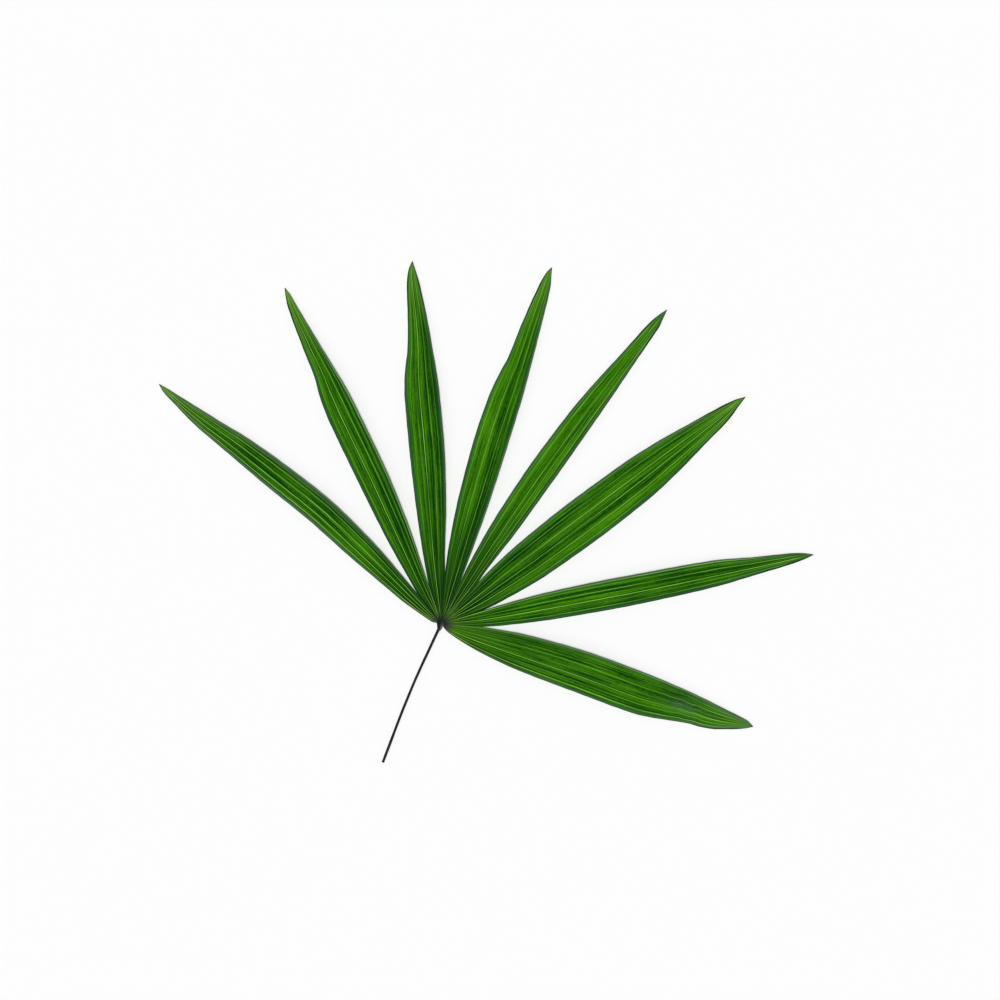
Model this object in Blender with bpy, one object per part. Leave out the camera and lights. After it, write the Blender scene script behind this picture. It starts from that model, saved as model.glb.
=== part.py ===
"""A fan palm leaf, cut and laid down: one pleated green blade of eight leaflets, grown together
round the hub, and one dark stalk whose knot holds them.

Metres, +Z up. The origin is on the surface that the leaf lies on, under the knot. The stalk runs
along -Y and the leaflets fan out over +Y. Each leaflet has its own straight line from the hub to
its tip: distances are measured along it, and its left and right are those seen from the hub.
"""

import math

import bmesh
import bpy
from mathutils import Vector

MM = 0.001
NAME = "fan_palm_leaf"

# The hub, in millimetres: the blade starts on a ring round the knot.
HUB_RING = 3.7
HUB_TOP = 3.8

# The blade's section, in millimetres. Its thickness is measured straight down. The folds grow with
# the distance from the hub up to their full height. Margins and valleys are shares of it, and a
# valley is as deep as its ribs are apart: the steepness is its share for each millimetre.
THICKNESS = 0.75
FOLD_HEIGHT = 0.95
FOLD_SLOPE = 0.017
MARGIN = -0.7
VALLEY_DEPTH = 2.1
VALLEY_STEEPNESS = 0.33
CROWN_HEIGHT = 1.1
TIP_FADE = 90.0

# How the leaflets arch over the surface, in millimetres.
MEAN_LENGTH = 276.0
MEAN_ARCH = 6.0
JOINED_REACH = 44.0
FREE_REACH = 150.0
WAVE_HEIGHT = 0.5

# Rows of the mesh from the hub to where the leaflets part, and from there to the tips.
JOINED_ROWS = 5
FREE_ROWS = 25
ROW_CROWDING = 1.25

# Where neighbouring leaflets part: direction from the hub in degrees, distance in millimetres.
CLEFTS = ((150.5, 31.0), (130.0, 34.5), (108.0, 40.0), (88.0, 36.5), (70.0, 43.0), (40.0, 36.0),
          (18.0, 34.0))

# The outer edges of the fan: distance and half width in millimetres, from the hub ring outwards.
FIRST_EDGE = ((3.2, 1.9), (6.0, 3.4), (21.0, 5.0))
LAST_EDGE = ((2.6, 2.7), (6.0, 4.6), (21.0, 8.6))


class Leaflet:
    """One leaflet: the heading of its line in degrees and its length; where its ribs run, as shares
    of its width from the left; its half widths (distance, left, right); its arch and how far its
    tip stays off the surface. Lengths are in millimetres."""

    def __init__(self, heading, length, ribs, widths, arch, tip_lift):
        self.heading = math.radians(heading)
        self.length = length
        self.ribs = ribs
        self.widths = widths
        self.arch = arch
        self.tip_lift = tip_lift

    def place(self, along, across):
        """A point of the plane from its distance along the line and to the right of it."""
        cosine, sine = math.cos(self.heading), math.sin(self.heading)
        return Vector((along * cosine + across * sine, along * sine - across * cosine))

    def measure(self, point):
        """The distance along the line, and to the right of it, of a point of the plane."""
        cosine, sine = math.cos(self.heading), math.sin(self.heading)
        return point.x * cosine + point.y * sine, point.x * sine - point.y * cosine


LEAFLETS = (
    Leaflet(161.9, 276, (0.15, 0.34, 0.55, 0.77, 0.88),
            ((36, 6, 7), (81, 6, 14), (126, 5, 17), (171, 6, 15), (201, 6, 12), (231, 6, 7.5),
             (261, 3.5, 3)), 5.0, 0.0),
    Leaflet(137.2, 277, (0.15, 0.42, 0.68, 0.84),
            ((37, 7.5, 4.5), (82, 10.5, 9.5), (127, 11.5, 11.5), (172, 12, 11), (187, 11, 10.5),
             (202, 9, 9), (232, 6.5, 5.5), (262, 4.5, 2.5)), 6.5, 1.6),
    Leaflet(116.8, 272, (0.18, 0.44, 0.68, 0.84),
            ((47, 9, 6.5), (92, 12, 11), (137, 13.5, 13), (170, 14, 12.5), (182, 13, 12),
             (205, 9.5, 10), (227, 7, 8), (257, 5.5, 4)), 5.5, 0.9),
    Leaflet(95.0, 279, (0.14, 0.43, 0.68, 0.83),
            ((54, 11.5, 5.5), (99, 16, 7.5), (144, 17.5, 8), (174, 16.5, 8), (204, 11.5, 7),
             (234, 8.5, 5.5), (264, 5, 3.5)), 6.8, 0.0),
    Leaflet(76.5, 289, (0.2, 0.51, 0.67, 0.82),
            ((49, 9.5, 4), (94, 14, 5.5), (139, 15.5, 5.5), (184, 14.5, 5), (214, 12, 4.5),
             (244, 8.5, 3.5), (274, 5, 3)), 5.6, 1.3),
    Leaflet(58.9, 284, (0.2, 0.39, 0.56, 0.735, 0.9),
            ((43, 9, 13), (88, 14, 18), (133, 15.5, 19), (178, 15, 18), (208, 13, 15),
             (238, 9, 10), (268, 5, 5)), 7.0, 1.8),
    Leaflet(32.7, 283, (0.16, 0.33, 0.59, 0.85),
            ((43, 5.5, 9.5), (88, 9, 12), (133, 10, 12.5), (178, 10, 11.5), (208, 9.5, 10),
             (238, 6.5, 7), (268, 4, 4)), 5.8, 1.1),
    Leaflet(3.9, 246, (0.18, 0.33, 0.61, 0.75, 0.88),
            ((36, 8.5, 11.5), (66, 12.5, 15), (111, 14.5, 17), (156, 13, 18.5), (186, 11, 15),
             (216, 7, 11), (231, 5, 7)), 5.2, 0.0),
)

# The stalk's middle line in millimetres, with its radius, from inside the knot to the cut end.
STALK = (((0.0, 0.0, 2.0), 1.6), ((-0.9, -9.0, 1.9), 1.1), ((-2.5, -55.5, 1.5), 1.0),
         ((-1.4, -113.0, 1.2), 1.05))
STALK_SIDES = 3
STALK_STEPS = 10
KNOT_CENTRE = (0.1, 0.2, 1.9)
KNOT_HALF_SIZE = (3.2, 3.3, 2.4)
WELD = 1e-6


def clear_scene():
    for thing in list(bpy.data.objects):
        bpy.data.objects.remove(thing, do_unlink=True)


def make_collection(name):
    collection = bpy.data.collections.new(name)
    bpy.context.scene.collection.children.link(collection)
    return collection


def make_material(name, colour, roughness):
    material = bpy.data.materials.new(name)
    material.use_nodes = True
    surface = material.node_tree.nodes["Principled BSDF"]
    surface.inputs["Base Color"].default_value = (*colour, 1.0)
    surface.inputs["Roughness"].default_value = roughness
    surface.inputs["Metallic"].default_value = 0.0
    return material


def add_object(name, mesh, collection, material):
    piece = bpy.data.objects.new(name, mesh)
    mesh.materials.append(material)
    collection.objects.link(piece)
    return piece


def ease(start, end, value):
    """0 before start and 1 after end, with a smooth rise between them."""
    share = min(max((value - start) / (end - start), 0.0), 1.0)
    return share * share * (3 - 2 * share)


def smooth_curve(points, at):
    """The height at one place of the curve through (place, height) points. It has no overshoot."""
    places = [place for place, _ in points]
    heights = [height for _, height in points]
    steps = [b - a for a, b in zip(places, places[1:])]
    slopes = [(b - a) / step for a, b, step in zip(heights, heights[1:], steps)]
    tangents = [slopes[0]]
    for before, after in zip(slopes, slopes[1:]):
        level = before * after <= 0
        tangents.append(0.0 if level else 2 * before * after / (before + after))
    tangents.append(slopes[-1])
    i = min(sum(place < at for place in places[1:-1]), len(steps) - 1)
    share = (at - places[i]) / steps[i]
    rise = tangents[i] * steps[i] * share * (1 - share) ** 2
    fall = tangents[i + 1] * steps[i] * share ** 2 * (share - 1)
    return (heights[i] * (1 + 2 * share) * (1 - share) ** 2
            + heights[i + 1] * share ** 2 * (3 - 2 * share) + rise + fall)


def cleft(number):
    """The point where leaflets number and number + 1 part."""
    direction, distance = CLEFTS[number]
    angle = math.radians(direction)
    return Vector((math.cos(angle), math.sin(angle))) * distance


def margin(number, side):
    """The (distance, half width) points of a leaflet's edge on side -1 (left) or 1 (right)."""
    leaflet = LEAFLETS[number]
    free = [(entry[0], entry[1] if side < 0 else entry[2]) for entry in leaflet.widths]
    free.append((leaflet.length, 0.0))
    if number == 0 and side < 0:
        return list(FIRST_EDGE) + free
    if number == len(LEAFLETS) - 1 and side > 0:
        return list(LAST_EDGE) + free
    along, across = leaflet.measure(cleft(number - 1 if side < 0 else number))
    return [(along, abs(across))] + free


def edge_point(number, side, stage):
    """A point on a leaflet's edge: stage 0 is the hub ring, 1 where it comes free, 2 its tip."""
    leaflet = LEAFLETS[number]
    points = margin(number, side)
    outer = points[0][0] < HUB_RING
    free_from = points[0][0] if not outer else leaflet.widths[0][0]
    if stage < 1 and not outer:
        corner = cleft(number - 1 if side < 0 else number)
        return corner.normalized() * (HUB_RING + (corner.length - HUB_RING) * stage)
    if stage < 1:
        along = points[0][0] + (free_from - points[0][0]) * stage
    else:
        along = free_from + (leaflet.length - free_from) * (stage - 1)
    return leaflet.place(along, side * smooth_curve(points, along))


def rib_lines(leaflet):
    """The leaflet's fold lines as (share of the width, height share): ribs up, valleys between."""
    widest = max(left + right for _, left, right in leaflet.widths)
    lines = [(0.0, MARGIN)]
    for rib, following in zip(leaflet.ribs, leaflet.ribs[1:] + (None,)):
        lines.append((rib, 1.0))
        if following:
            depth = min(VALLEY_DEPTH, VALLEY_STEEPNESS * (following - rib) * widest)
            lines.append(((rib + following) / 2, 1.0 - depth))
    lines.append((1.0, MARGIN))
    return lines


def arch(length, height, tip_height, reach):
    """The height of an arch that leaves the hub and comes down to tip_height at length."""
    share = reach / length
    return HUB_TOP * (1 - share) + tip_height * share + 4 * height * share * (1 - share)


def surface_height(leaflet, number, point, share, fold):
    """The height of the blade's upper face, in millimetres."""
    reach = point.length
    own = arch(leaflet.length, leaflet.arch, THICKNESS + leaflet.tip_lift, reach)
    shared = arch(MEAN_LENGTH, MEAN_ARCH, THICKNESS, reach)
    free = ease(JOINED_REACH, FREE_REACH, reach)
    to_tip = max(leaflet.length - leaflet.measure(point)[0], 0.0)
    fade = min(to_tip / TIP_FADE, 1.0)
    folds = min(FOLD_SLOPE * reach, FOLD_HEIGHT) * fold
    crown = CROWN_HEIGHT * (1 - (2 * share - 1) ** 2) * free
    wave = WAVE_HEIGHT * free * math.sin(reach / 17 + 2.4 * number) * (2 * share - 1)
    return shared + (own - shared) * free + (folds + crown + wave) * fade


def row_stages():
    """The stage of each row of the mesh; the free rows crowd a little towards the tip."""
    joined = [row / JOINED_ROWS for row in range(JOINED_ROWS)]
    free = [2 - (1 - row / FREE_ROWS) ** ROW_CROWDING for row in range(FREE_ROWS + 1)]
    return joined + free


def add_leaflet(mesh, number):
    """Adds a grid that is bent into one leaflet: rows cross it and columns follow its folds."""
    leaflet = LEAFLETS[number]
    lines = rib_lines(leaflet)
    stages = row_stages()
    grid = bmesh.ops.create_grid(mesh, x_segments=len(lines) - 1, y_segments=len(stages) - 1,
                                 size=1.0)
    for vertex in grid["verts"]:
        column = round((vertex.co.x + 1) / 2 * (len(lines) - 1))
        row = round((vertex.co.y + 1) / 2 * (len(stages) - 1))
        share, fold = lines[column]
        if row == 0:
            share = round(2 * share) / 2
            fold = MARGIN
        left = edge_point(number, -1, stages[row])
        right = edge_point(number, 1, stages[row])
        point = left.lerp(right, share)
        height = surface_height(leaflet, number, point, share, fold)
        vertex.co = Vector((point.x, point.y, height)) * MM


def build_blade(collection, material):
    """All leaflets, welded where they are grown together, and given their thickness."""
    mesh = bmesh.new()
    for number in range(len(LEAFLETS)):
        add_leaflet(mesh, number)
    bmesh.ops.remove_doubles(mesh, verts=mesh.verts, dist=WELD)
    bmesh.ops.recalc_face_normals(mesh, faces=mesh.faces)
    bmesh.ops.triangulate(mesh, faces=mesh.faces, quad_method="FIXED")
    lower = bmesh.ops.extrude_face_region(mesh, geom=mesh.faces[:], use_keep_orig=True)
    lower_vertices = [part for part in lower["geom"] if isinstance(part, bmesh.types.BMVert)]
    bmesh.ops.translate(mesh, verts=lower_vertices, vec=(0, 0, -THICKNESS * MM))
    bmesh.ops.recalc_face_normals(mesh, faces=mesh.faces)
    data = bpy.data.meshes.new("blade")
    mesh.to_mesh(data)
    mesh.free()
    data.shade_smooth()
    data.set_sharp_from_angle(angle=math.radians(15))
    return add_object("blade", data, collection, material)


def stalk_mesh(collection):
    """The stalk as a tapered tube along its curve, with its caps welded."""
    curve = bpy.data.curves.new("stalk_line", "CURVE")
    curve.dimensions = "3D"
    curve.bevel_depth = MM
    curve.bevel_resolution = STALK_SIDES
    curve.use_fill_caps = True
    curve.resolution_u = STALK_STEPS
    spline = curve.splines.new("BEZIER")
    spline.bezier_points.add(len(STALK) - 1)
    for point, (place, radius) in zip(spline.bezier_points, STALK):
        point.co = Vector(place) * MM
        point.radius = radius
        point.handle_left_type = point.handle_right_type = "AUTO"
    line = bpy.data.objects.new("stalk_line", curve)
    collection.objects.link(line)
    bpy.context.view_layer.update()
    graph = bpy.context.evaluated_depsgraph_get()
    data = bpy.data.meshes.new_from_object(line.evaluated_get(graph))
    bpy.data.objects.remove(line, do_unlink=True)
    weld = bmesh.new()
    weld.from_mesh(data)
    bmesh.ops.remove_doubles(weld, verts=weld.verts, dist=WELD)
    bmesh.ops.recalc_face_normals(weld, faces=weld.faces)
    weld.to_mesh(data)
    weld.free()
    return data


def knot_mesh():
    """The knot that holds the leaflets: a squat ball, cut flat where it lies on the surface."""
    knot = bmesh.new()
    bmesh.ops.create_uvsphere(knot, u_segments=20, v_segments=12, radius=MM)
    bmesh.ops.scale(knot, verts=knot.verts, vec=KNOT_HALF_SIZE)
    bmesh.ops.translate(knot, verts=knot.verts, vec=Vector(KNOT_CENTRE) * MM)
    bmesh.ops.bisect_plane(knot, geom=knot.verts[:] + knot.edges[:] + knot.faces[:],
                           plane_co=(0, 0, 0), plane_no=(0, 0, -1), clear_outer=True)
    bmesh.ops.holes_fill(knot, edges=[edge for edge in knot.edges if edge.is_boundary])
    bmesh.ops.recalc_face_normals(knot, faces=knot.faces)
    data = bpy.data.meshes.new("knot")
    knot.to_mesh(data)
    knot.free()
    return data


def build_petiole(collection, cutters, material):
    """The stalk and the knot at its head, joined into one solid."""
    petiole = add_object("petiole", stalk_mesh(collection), collection, material)
    knot = add_object("knot", knot_mesh(), cutters, material)
    knot.hide_render = True
    knot.display_type = "WIRE"
    union = petiole.modifiers.new("knot", "BOOLEAN")
    union.operation = "UNION"
    union.object = knot
    petiole.data.shade_smooth()
    return petiole


def main():
    clear_scene()
    parts = make_collection(NAME)
    cutters = make_collection("cutters")
    cutters.hide_render = True
    leaf_green = make_material("leaf_green", (0.026, 0.14, 0.01), 0.5)
    stalk_dark = make_material("stalk_dark", (0.018, 0.021, 0.019), 0.6)
    build_blade(parts, leaf_green)
    build_petiole(parts, cutters, stalk_dark)


main()
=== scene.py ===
"""Fan palm leaf: the looks of the cut leaf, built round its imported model.

Metres, +Z up. The origin is on the floor under the knot, the stalk runs along -Y and the leaflets
fan out over +Y. Shapes are worked out in millimetres and written to the meshes in metres. Each
leaflet has its own straight line from the hub to its tip: distances are measured along it, and its
left and right are those seen from the hub.
"""

import math
import random

import bmesh
import bpy
import numpy as np
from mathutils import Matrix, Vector, noise


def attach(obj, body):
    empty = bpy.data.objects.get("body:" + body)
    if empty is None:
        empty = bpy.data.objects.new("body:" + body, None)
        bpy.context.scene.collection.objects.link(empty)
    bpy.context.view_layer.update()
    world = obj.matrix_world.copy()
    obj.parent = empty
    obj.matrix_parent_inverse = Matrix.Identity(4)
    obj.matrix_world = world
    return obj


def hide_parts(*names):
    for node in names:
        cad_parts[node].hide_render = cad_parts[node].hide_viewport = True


bl_info = {
    "name": "Fan Palm Leaf",
    "version": (1, 0, 0),
    "blender": (4, 5, 0),
    "location": "View3D > Sidebar > Palm Leaf",
    "description": "Adds a cut fan palm leaf with pleated leaflets, a knot and a stalk",
    "category": "Add Mesh",
}

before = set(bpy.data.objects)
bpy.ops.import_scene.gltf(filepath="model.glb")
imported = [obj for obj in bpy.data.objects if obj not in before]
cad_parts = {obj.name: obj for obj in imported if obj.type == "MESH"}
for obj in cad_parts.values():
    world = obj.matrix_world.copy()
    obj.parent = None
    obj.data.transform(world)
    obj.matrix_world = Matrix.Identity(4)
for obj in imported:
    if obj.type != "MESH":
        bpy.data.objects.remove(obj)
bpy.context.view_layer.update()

MM = 0.001
BODY = "root"

# The hub, in millimetres: the radius of the ring where the leaflets start, and its height.
HUB_RING = 1.7
HUB_TOP = 3.8

# The arch of the leaflets over the floor, in millimetres. They share a mean one as far as they are
# joined, and each has its own where it is free. SINK lowers them all a little.
SOLID_THICKNESS = 0.75
SINK = 0.12
MEAN_LENGTH = 276.0
MEAN_ARCH = 6.0
JOINED_REACH = 44.0
FREE_REACH = 150.0
# The slow waves of a leaflet's sides: height and step in millimetres, and how far the next
# leaflet's wave is shifted.
WAVE_HEIGHT, WAVE_STEP, WAVE_TURN = 0.5, 17.0, 2.4

# The folds. They rise from the hub by FOLD_SLOPE for each millimetre. The margins' height and the
# valleys' depth are shares of the fold height, and a valley gets VALLEY_STEEPNESS of it for each
# millimetre between its ribs. In millimetres, CROWN_HEIGHT is how much the middle of a leaflet
# stands over its sides, and TIP_FADE how long all this fades before the tip.
FOLD_SLOPE = 0.017
MARGIN = -0.7
VALLEY_DEPTH = 2.1
VALLEY_STEEPNESS = 0.33
CROWN_HEIGHT = 1.1
TIP_FADE = 90.0
FOLD_ROUNDNESS = 0.35

# The ribs' shape in millimetres, and the least share of it that a weak rib or a narrow place has.
RIB_HALF_WIDTH = 0.24
UNDER_RIB = 1.5
RIB_ONSET = (2, 12)
RIB_TAPER = 20.0
WEAK_RIB, NARROW_RIB = 0.35, 0.4

# Where a rib ends and where it is whole, in millimetres from the tip: at the share of the width
# where ribs run furthest, and how much more it is for each share of the width off that.
FURTHEST_RIB = 0.45
RIB_END, RIB_WHOLE = (3, 20), (12, 85)

# The dents of the blade: depth in millimetres and, for each kind of dent, its length along the
# leaflet, how it turns across it, how it differs between leaflets, and its share of the depth.
DENT_DEPTH = 0.1
DENTS = ((11, 9, 1, 1.0), (6.1, -14, 2, 1.0), (3.3, 25, 3, 0.6))
DENT_SHIFT = 3.1
DENT_FADE = 30.0

# The edges, in millimetres: the length of a kink's step and of the swelling round it, the height
# and lengths of the small waves, and how fast both set in at the cleft and end at the tip.
KINK_STEP, KINK_REACH = 3.5, 17.0
EDGE_WAVE, EDGE_WAVE_LENGTHS = 0.07, (2.3, 9.1)
EDGE_ONSET, EDGE_END = 12, 25

# The mesh: rows from hub to cleft and from cleft to tip, how much they crowd at the tip, and over
# how many rows and in how many rounds the bend between the two is evened out.
JOINED_ROWS = 22
FREE_ROWS = 116
ROW_CROWDING = 1.3
EVEN_ROWS, EVEN_ROUNDS = 16, 50
# Where columns run, in millimetres: beside each other, beside a rib and beside an edge.
COLUMN_SPACING = 0.75
LEAST_SPACING = 0.12
RIB_COLUMNS = (-0.5, -0.22, 0.0, 0.22, 0.5)
EDGE_COLUMNS = (0.15, 0.35, 0.65)
TIP_WIDTH = 0.4
# Points nearer than this are joined, in metres, and edges that turn more than this are sharp.
WELD = 4e-5
SHARP_LEAF, SHARP_STALK = math.radians(55), math.radians(50)

# The flat map of a leaflet, in shares of the map: its border, the width of one face, where the
# lower face starts, and the narrow strips of the rim at the sides and at the ends.
MAP_BORDER, MAP_WIDTH, MAP_LOWER = 0.01, 0.475, 0.515
MAP_SIDES, MAP_ENDS, MAP_STRIP = (0.492, 0.503), (0.001, 0.993), 0.005

# Where neighbouring leaflets part: direction from the hub in degrees, distance in millimetres.
CLEFTS = ((150.5, 29.6), (130.0, 31.4), (108.0, 39.4), (88.0, 35.4), (70.0, 39.2), (40.0, 33.6),
          (18.0, 30.8))

# The outer edges of the fan: distance and half width in millimetres, from the hub ring outwards.
FIRST_EDGE = ((1.4, 0.8), (3.2, 1.9), (6.0, 3.4), (21.0, 5.0))
LAST_EDGE = ((1.2, 0.9), (2.6, 2.3), (6.0, 4.2), (21.0, 8.5))

# The dry brownish husk beside the knot: its distance and breadth in millimetres.
HUSK_REACH, HUSK_BREADTH = 4.5, 4.0

# How each leaflet's green differs: how much darker it is near the knot, how far that reaches in
# millimetres, how much darker its lower half is, how much lighter it is at its tip and near the
# knot, and how much husk it has.
SHADES = ((0.6, 46, 0.2, 0.6, 0.0, 0.5), (0.82, 48, 0.24, 0.64, 0.0, 0.3),
          (0.68, 54, 0.28, 0.42, 0.0, 0.15), (0.66, 108, 0.24, 0.42, 0.0, 0.1),
          (0.76, 116, 0.24, 0.05, 0.0, 0.3), (0.68, 70, 0.22, 0.38, 0.0, 0.5),
          (0.8, 39, 0.0, 0.0, 0.0, 0.85), (0.0, 36, 0.2, 0.2, 0.34, 0.75))
# Where the dark base is full, and where the other shades begin and are full, in millimetres.
BASE_SHADE_FULL = 6
FAR_SHADE, TIP_GLOW, HUB_GLOW = (170, 25), (60, 2), (60, 14)
# The greyish bloom along the margins of two leaflets: how much, and where it begins and is full,
# in millimetres.
BLOOMS = {0: (0.25, 60, 110), 7: (0.5, 185, 225)}
NO_BLOOM = (0.0, 0, 1)

# Where the edge's colours set in, as a stage from hub to cleft to tip, and their least share.
EDGE_COLOUR, LEAST_EDGE = (0.95, 1.2), 0.1
# The least share of their breadth that a rib's marks keep where the leaflet is narrow.
NARROW_MARKS = 0.5
# How far apart the patterns of neighbouring leaflets are taken.
PATTERN_STEP = 40.0

# The damaged spot near the tip of the last leaflet, in millimetres, and its share of the width.
SCAR_LEAFLET = 7
SCAR_ALONG, SCAR_SHARE = 192.0, 0.52
SCAR_REACH, SCAR_BREADTH = 17.0, 0.3
SCAR_SWAY, SCAR_PERIOD, SCAR_BUMP = 0.5, 15.0, 0.5
SCAR_CRUMPLE = (1.9, 12)

# The stalk's middle line in millimetres, with its radius, from inside the knot to the cut end.
STALK = (((-3.85, 4.0, 3.6), 0.1), ((-3.5, 2.8, 3.5), 0.75), ((-2.9, 0.9, 3.1), 1.3),
         ((-1.65, -1.6, 2.6), 1.3), ((-0.6, -4.2, 2.2), 1.1), ((-0.6, -8.0, 2.0), 1.05),
         ((-1.0, -16.0, 1.85), 1.02), ((-2.45, -55.5, 1.5), 0.95), ((-1.4, -112.9, 1.2), 1.02))
STALK_SIDES, STALK_STEPS = 10, 60
# Its grooves and lumps: their depth, how often they change across and along it, and where the
# lumps are read in the noise. Grooves are where a normal leans far enough sideways, and the cut
# end is where it leans far enough along the stalk.
STALK_GROOVE = 0.07
STALK_GROOVE_GRAIN, STALK_LUMP_GRAIN, STALK_LUMP_LAYER = (2.1, 0.06), (0.3, 0.11), 7.0
GROOVED_LEAN, CUT_LEAN = 0.5, 0.9

# The knot, in millimetres: a lump with a long dark core, and flutes that fan out from a point.
KNOT_CENTRE = (-0.6, 0.5, 2.0)
KNOT_HALF_SIZE = (3.5, 3.1, 1.6)
KNOT_COLUMNS, KNOT_ROWS = 120, 60
KNOT_FLATNESS = 2.0
KNOT_FLOOR = 0.05
KNOT_FILL = 0.94
KNOT_LUMPS = ((3, 0.06), (9, 0.03))
KNOT_CORE = (-2.9, 0.9)
KNOT_CORE_TURN = math.radians(112.2)
KNOT_CORE_HALF_SIZE = (2.7, 1.5)
KNOT_CORE_RISE = 1.25
KNOT_FAN = (-0.3, -5.0)
KNOT_FAN_SPREAD = 6.0
FLUTES, FLUTE_DEPTH = 62, 0.05

# The dry strip where the blade's last edge meets the stalk: lines of (place, radius).
COLLAR = ((((0.2, -0.4, 3.2), 0.4), ((0.65, -2.4, 2.8), 0.75), ((0.65, -4.4, 2.4), 0.6),
           ((0.2, -6.8, 2.0), 0.12)),
          (((1.0, -0.2, 3.4), 0.3), ((1.25, -1.9, 3.1), 0.5), ((1.2, -4.0, 2.6), 0.3),
           ((0.9, -5.6, 2.2), 0.08)))
COLLAR_SIDES, COLLAR_STEPS = 5, 16
COLLAR_CREASE, COLLAR_GRAIN = 0.25, (4, 0.7)

# The fibres and tongues of the knot, as ranges in millimetres. They leave the knot between two
# directions, in degrees, and the fibres lie closest together round a third one.
TONGUES = 24
FAN_START, FAN_END, FIBRE_MIDDLE = -24, 176, 5
TONGUE_STRAY, TONGUE_LENGTH, TONGUE_RADIUS = (-4, 4), (0.7, 2.7), (0.1, 0.2)
FIBRE_LENGTH, FIBRE_RADIUS = (1.0, 4.0), (0.04, 0.08)
RAY_START, RAY_SWAY, RAY_LIFT = (2.2, 2.9), (-0.08, 0.08), (0.0, 0.12)
RAY_SHARES, RAY_TAPER = (0.0, 0.35, 0.7, 1.0), 0.85
RAY_SIDES, RAY_STEPS, RAY_SEED = 2, 6, 5
# The blade's upper face near the hub: its height in millimetres, and how it rises outwards.
BLADE_START, BLADE_SLOPE = 3.7, 0.083

# Streaks: how often they change across, along and through a piece in each millimetre, how strong
# they are, and how fine their detail is where that isn't the usual.
TISSUE_GRAINS = (((0.4, 0.008, 1.0), 1.2), ((1.3, 0.006, 1.0), 1.2), ((2.6, 0.04, 1.0), 1.1),
                 ((0.12, 0.03, 1.0), 0.7), ((0.9, 0.35, 1.0), 0.6))
BLUE_GRAIN = ((0.6, 0.014, 1.0), 3.4)
MARGIN_GRAIN = ((0.3, 0.02, 1.0), 1.4)
BLOOM_GRAIN = ((0.6, 0.08, 1.0), 2.0)
FURROW_GRAIN = ((0.5, 0.012, 1.0), 2.2)
RIB_GRAIN = ((0.9, 0.022, 1.0), 2.6)
HUSK_GRAIN = ((1.6, 0.25, 1.0), 3.0)
SCAR_GRAIN = ((0.8, 0.5, 1.0), 4.0)
LEAF_RELIEF_GRAINS = (((1.5, 0.012, 1.0), 1.0, 2.0), ((6.0, 1.2, 1.0), 0.35, 2.0))
LEAF_GLOSS_GRAIN = ((1.2, 0.05, 1.0), 0.2)
SPECK_GRAIN = ((3.0, 1.6, 3.0), 5.0, 2.0)
KNOT_GRAIN = ((2.2, 0.25, 1.0), 3.0, 4.0)
KNOT_CORE_GRAIN = ((1.5, 0.3, 1.0), 1.5)
KNOT_RELIEF_GRAIN = ((5.0, 1.0, 1.0), 0.6)
KNOT_GLOSS_GRAIN = ((2.0, 0.5, 1.0), 0.3)
CUT_GLOSS_GRAIN = ((3.0, 3.0, 3.0), 0.2)
STALK_GRAIN, FIBRE_GRAIN, COLLAR_SKIN_GRAIN = (1.8, 0.04, 1.8), (0.6, 0.6, 0.6), (2.0, 0.3, 2.0)

# Fine veins: their spacing in millimetres, how often their strength changes along them, how
# strongly they show, and where their sides begin and end, in shares of the spacing. Noise decides
# how far each one shows: between which two values, and how far apart it is read for neighbours.
VEIN_SPACING, VEIN_CHANGE, VEIN_STRENGTH = 0.95, 0.02, 0.5
VEIN_SIDES, VEIN_CHANCE, VEIN_STEP = (0.05, 0.3), (0.4, 0.7), 7.3

# The tones that are wholly dark and wholly light, the tone holding the pleats' painted light and
# shade with its streaks and veins, and how much each patchy mark is let through.
TONE_RANGE = (0.02, 1.08)
BLUE_LEAST, BLUE_FAR = 0.25, 0.25
FURROW_PATCHES, RIB_PATCHES, HUSK_PATCHES, SCAR_PATCHES = 0.6, 0.75, 0.6, 0.45

# Where the marks of a leaf face are full and where they end, in millimetres from the hub, the tip
# or the edge, with their share where they are full.
NEAR_HUB, NEAR_TIP = (8.0, 65.0), (2.0, 60.0)
# The dark ring round the knot is partly painted shade.
BLUE_REACH, DARK_RING, RING_SHARE = (20, 130), (2.8, 12.0), 0.95
# The cooler margins are a painted reflection.
REFLECTION_MARGIN, REFLECTION_SHARE = (0.2, 3.8), 0.85
BLOOM_MARGIN = (0.6, 5.0)
DRY_POINT, POINT_SHARE = (0.8, 3.5), 0.9

# The lines of a leaf face, in millimetres: half width, softness of the sides, distance of the
# middle from the rib or the edge, and what is added near the hub or the tip. The furrow and the
# dark edge are painted shade, and the pale line a painted highlight.
FURROW_LINE, FURROW_MIDDLE, FURROW_HUB_SHIFT = (0.15, 0.5), 0.7, 0.35
RIB_BREADTH, RIB_HUB_BREADTH, RIB_TIP_BREADTH, RIB_SOFTNESS = 0.13, 0.03, 0.12, 0.2
PALE_LINE, PALE_MIDDLE, PALE_SHARE = (0.15, 0.4), 0.6, 0.8
DARK_BREADTH, DARK_SOFTNESS, DARK_LOSS = 0.34, 0.35, 0.6
# Near the hub weak ribs fade and strong ones are full: between which strengths, and from and to
# which share.
STRONG_RIB = (0.25, 0.7, 0.08, 1.0)
# How the dark edge gets broader near the tip, but not at its point: between which distances from
# the tip, and from and to what, in millimetres.
DARK_TIP_BREADTH = (3.0, 18.0, 0.0, 0.8)

# The streaks of bark: strength and detail, the lightness added to them, and how much they change
# the gloss. Specks show above SPECK_LEAST, and the relief is finer than the streaks.
BARK_STREAKS, BARK_LIGHTNESS, BARK_GLOSS = (3.2, 4.0), 0.3, 0.3
SPECK_LEAST, BARK_RELIEF_FINENESS = 0.75, 1.6
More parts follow.
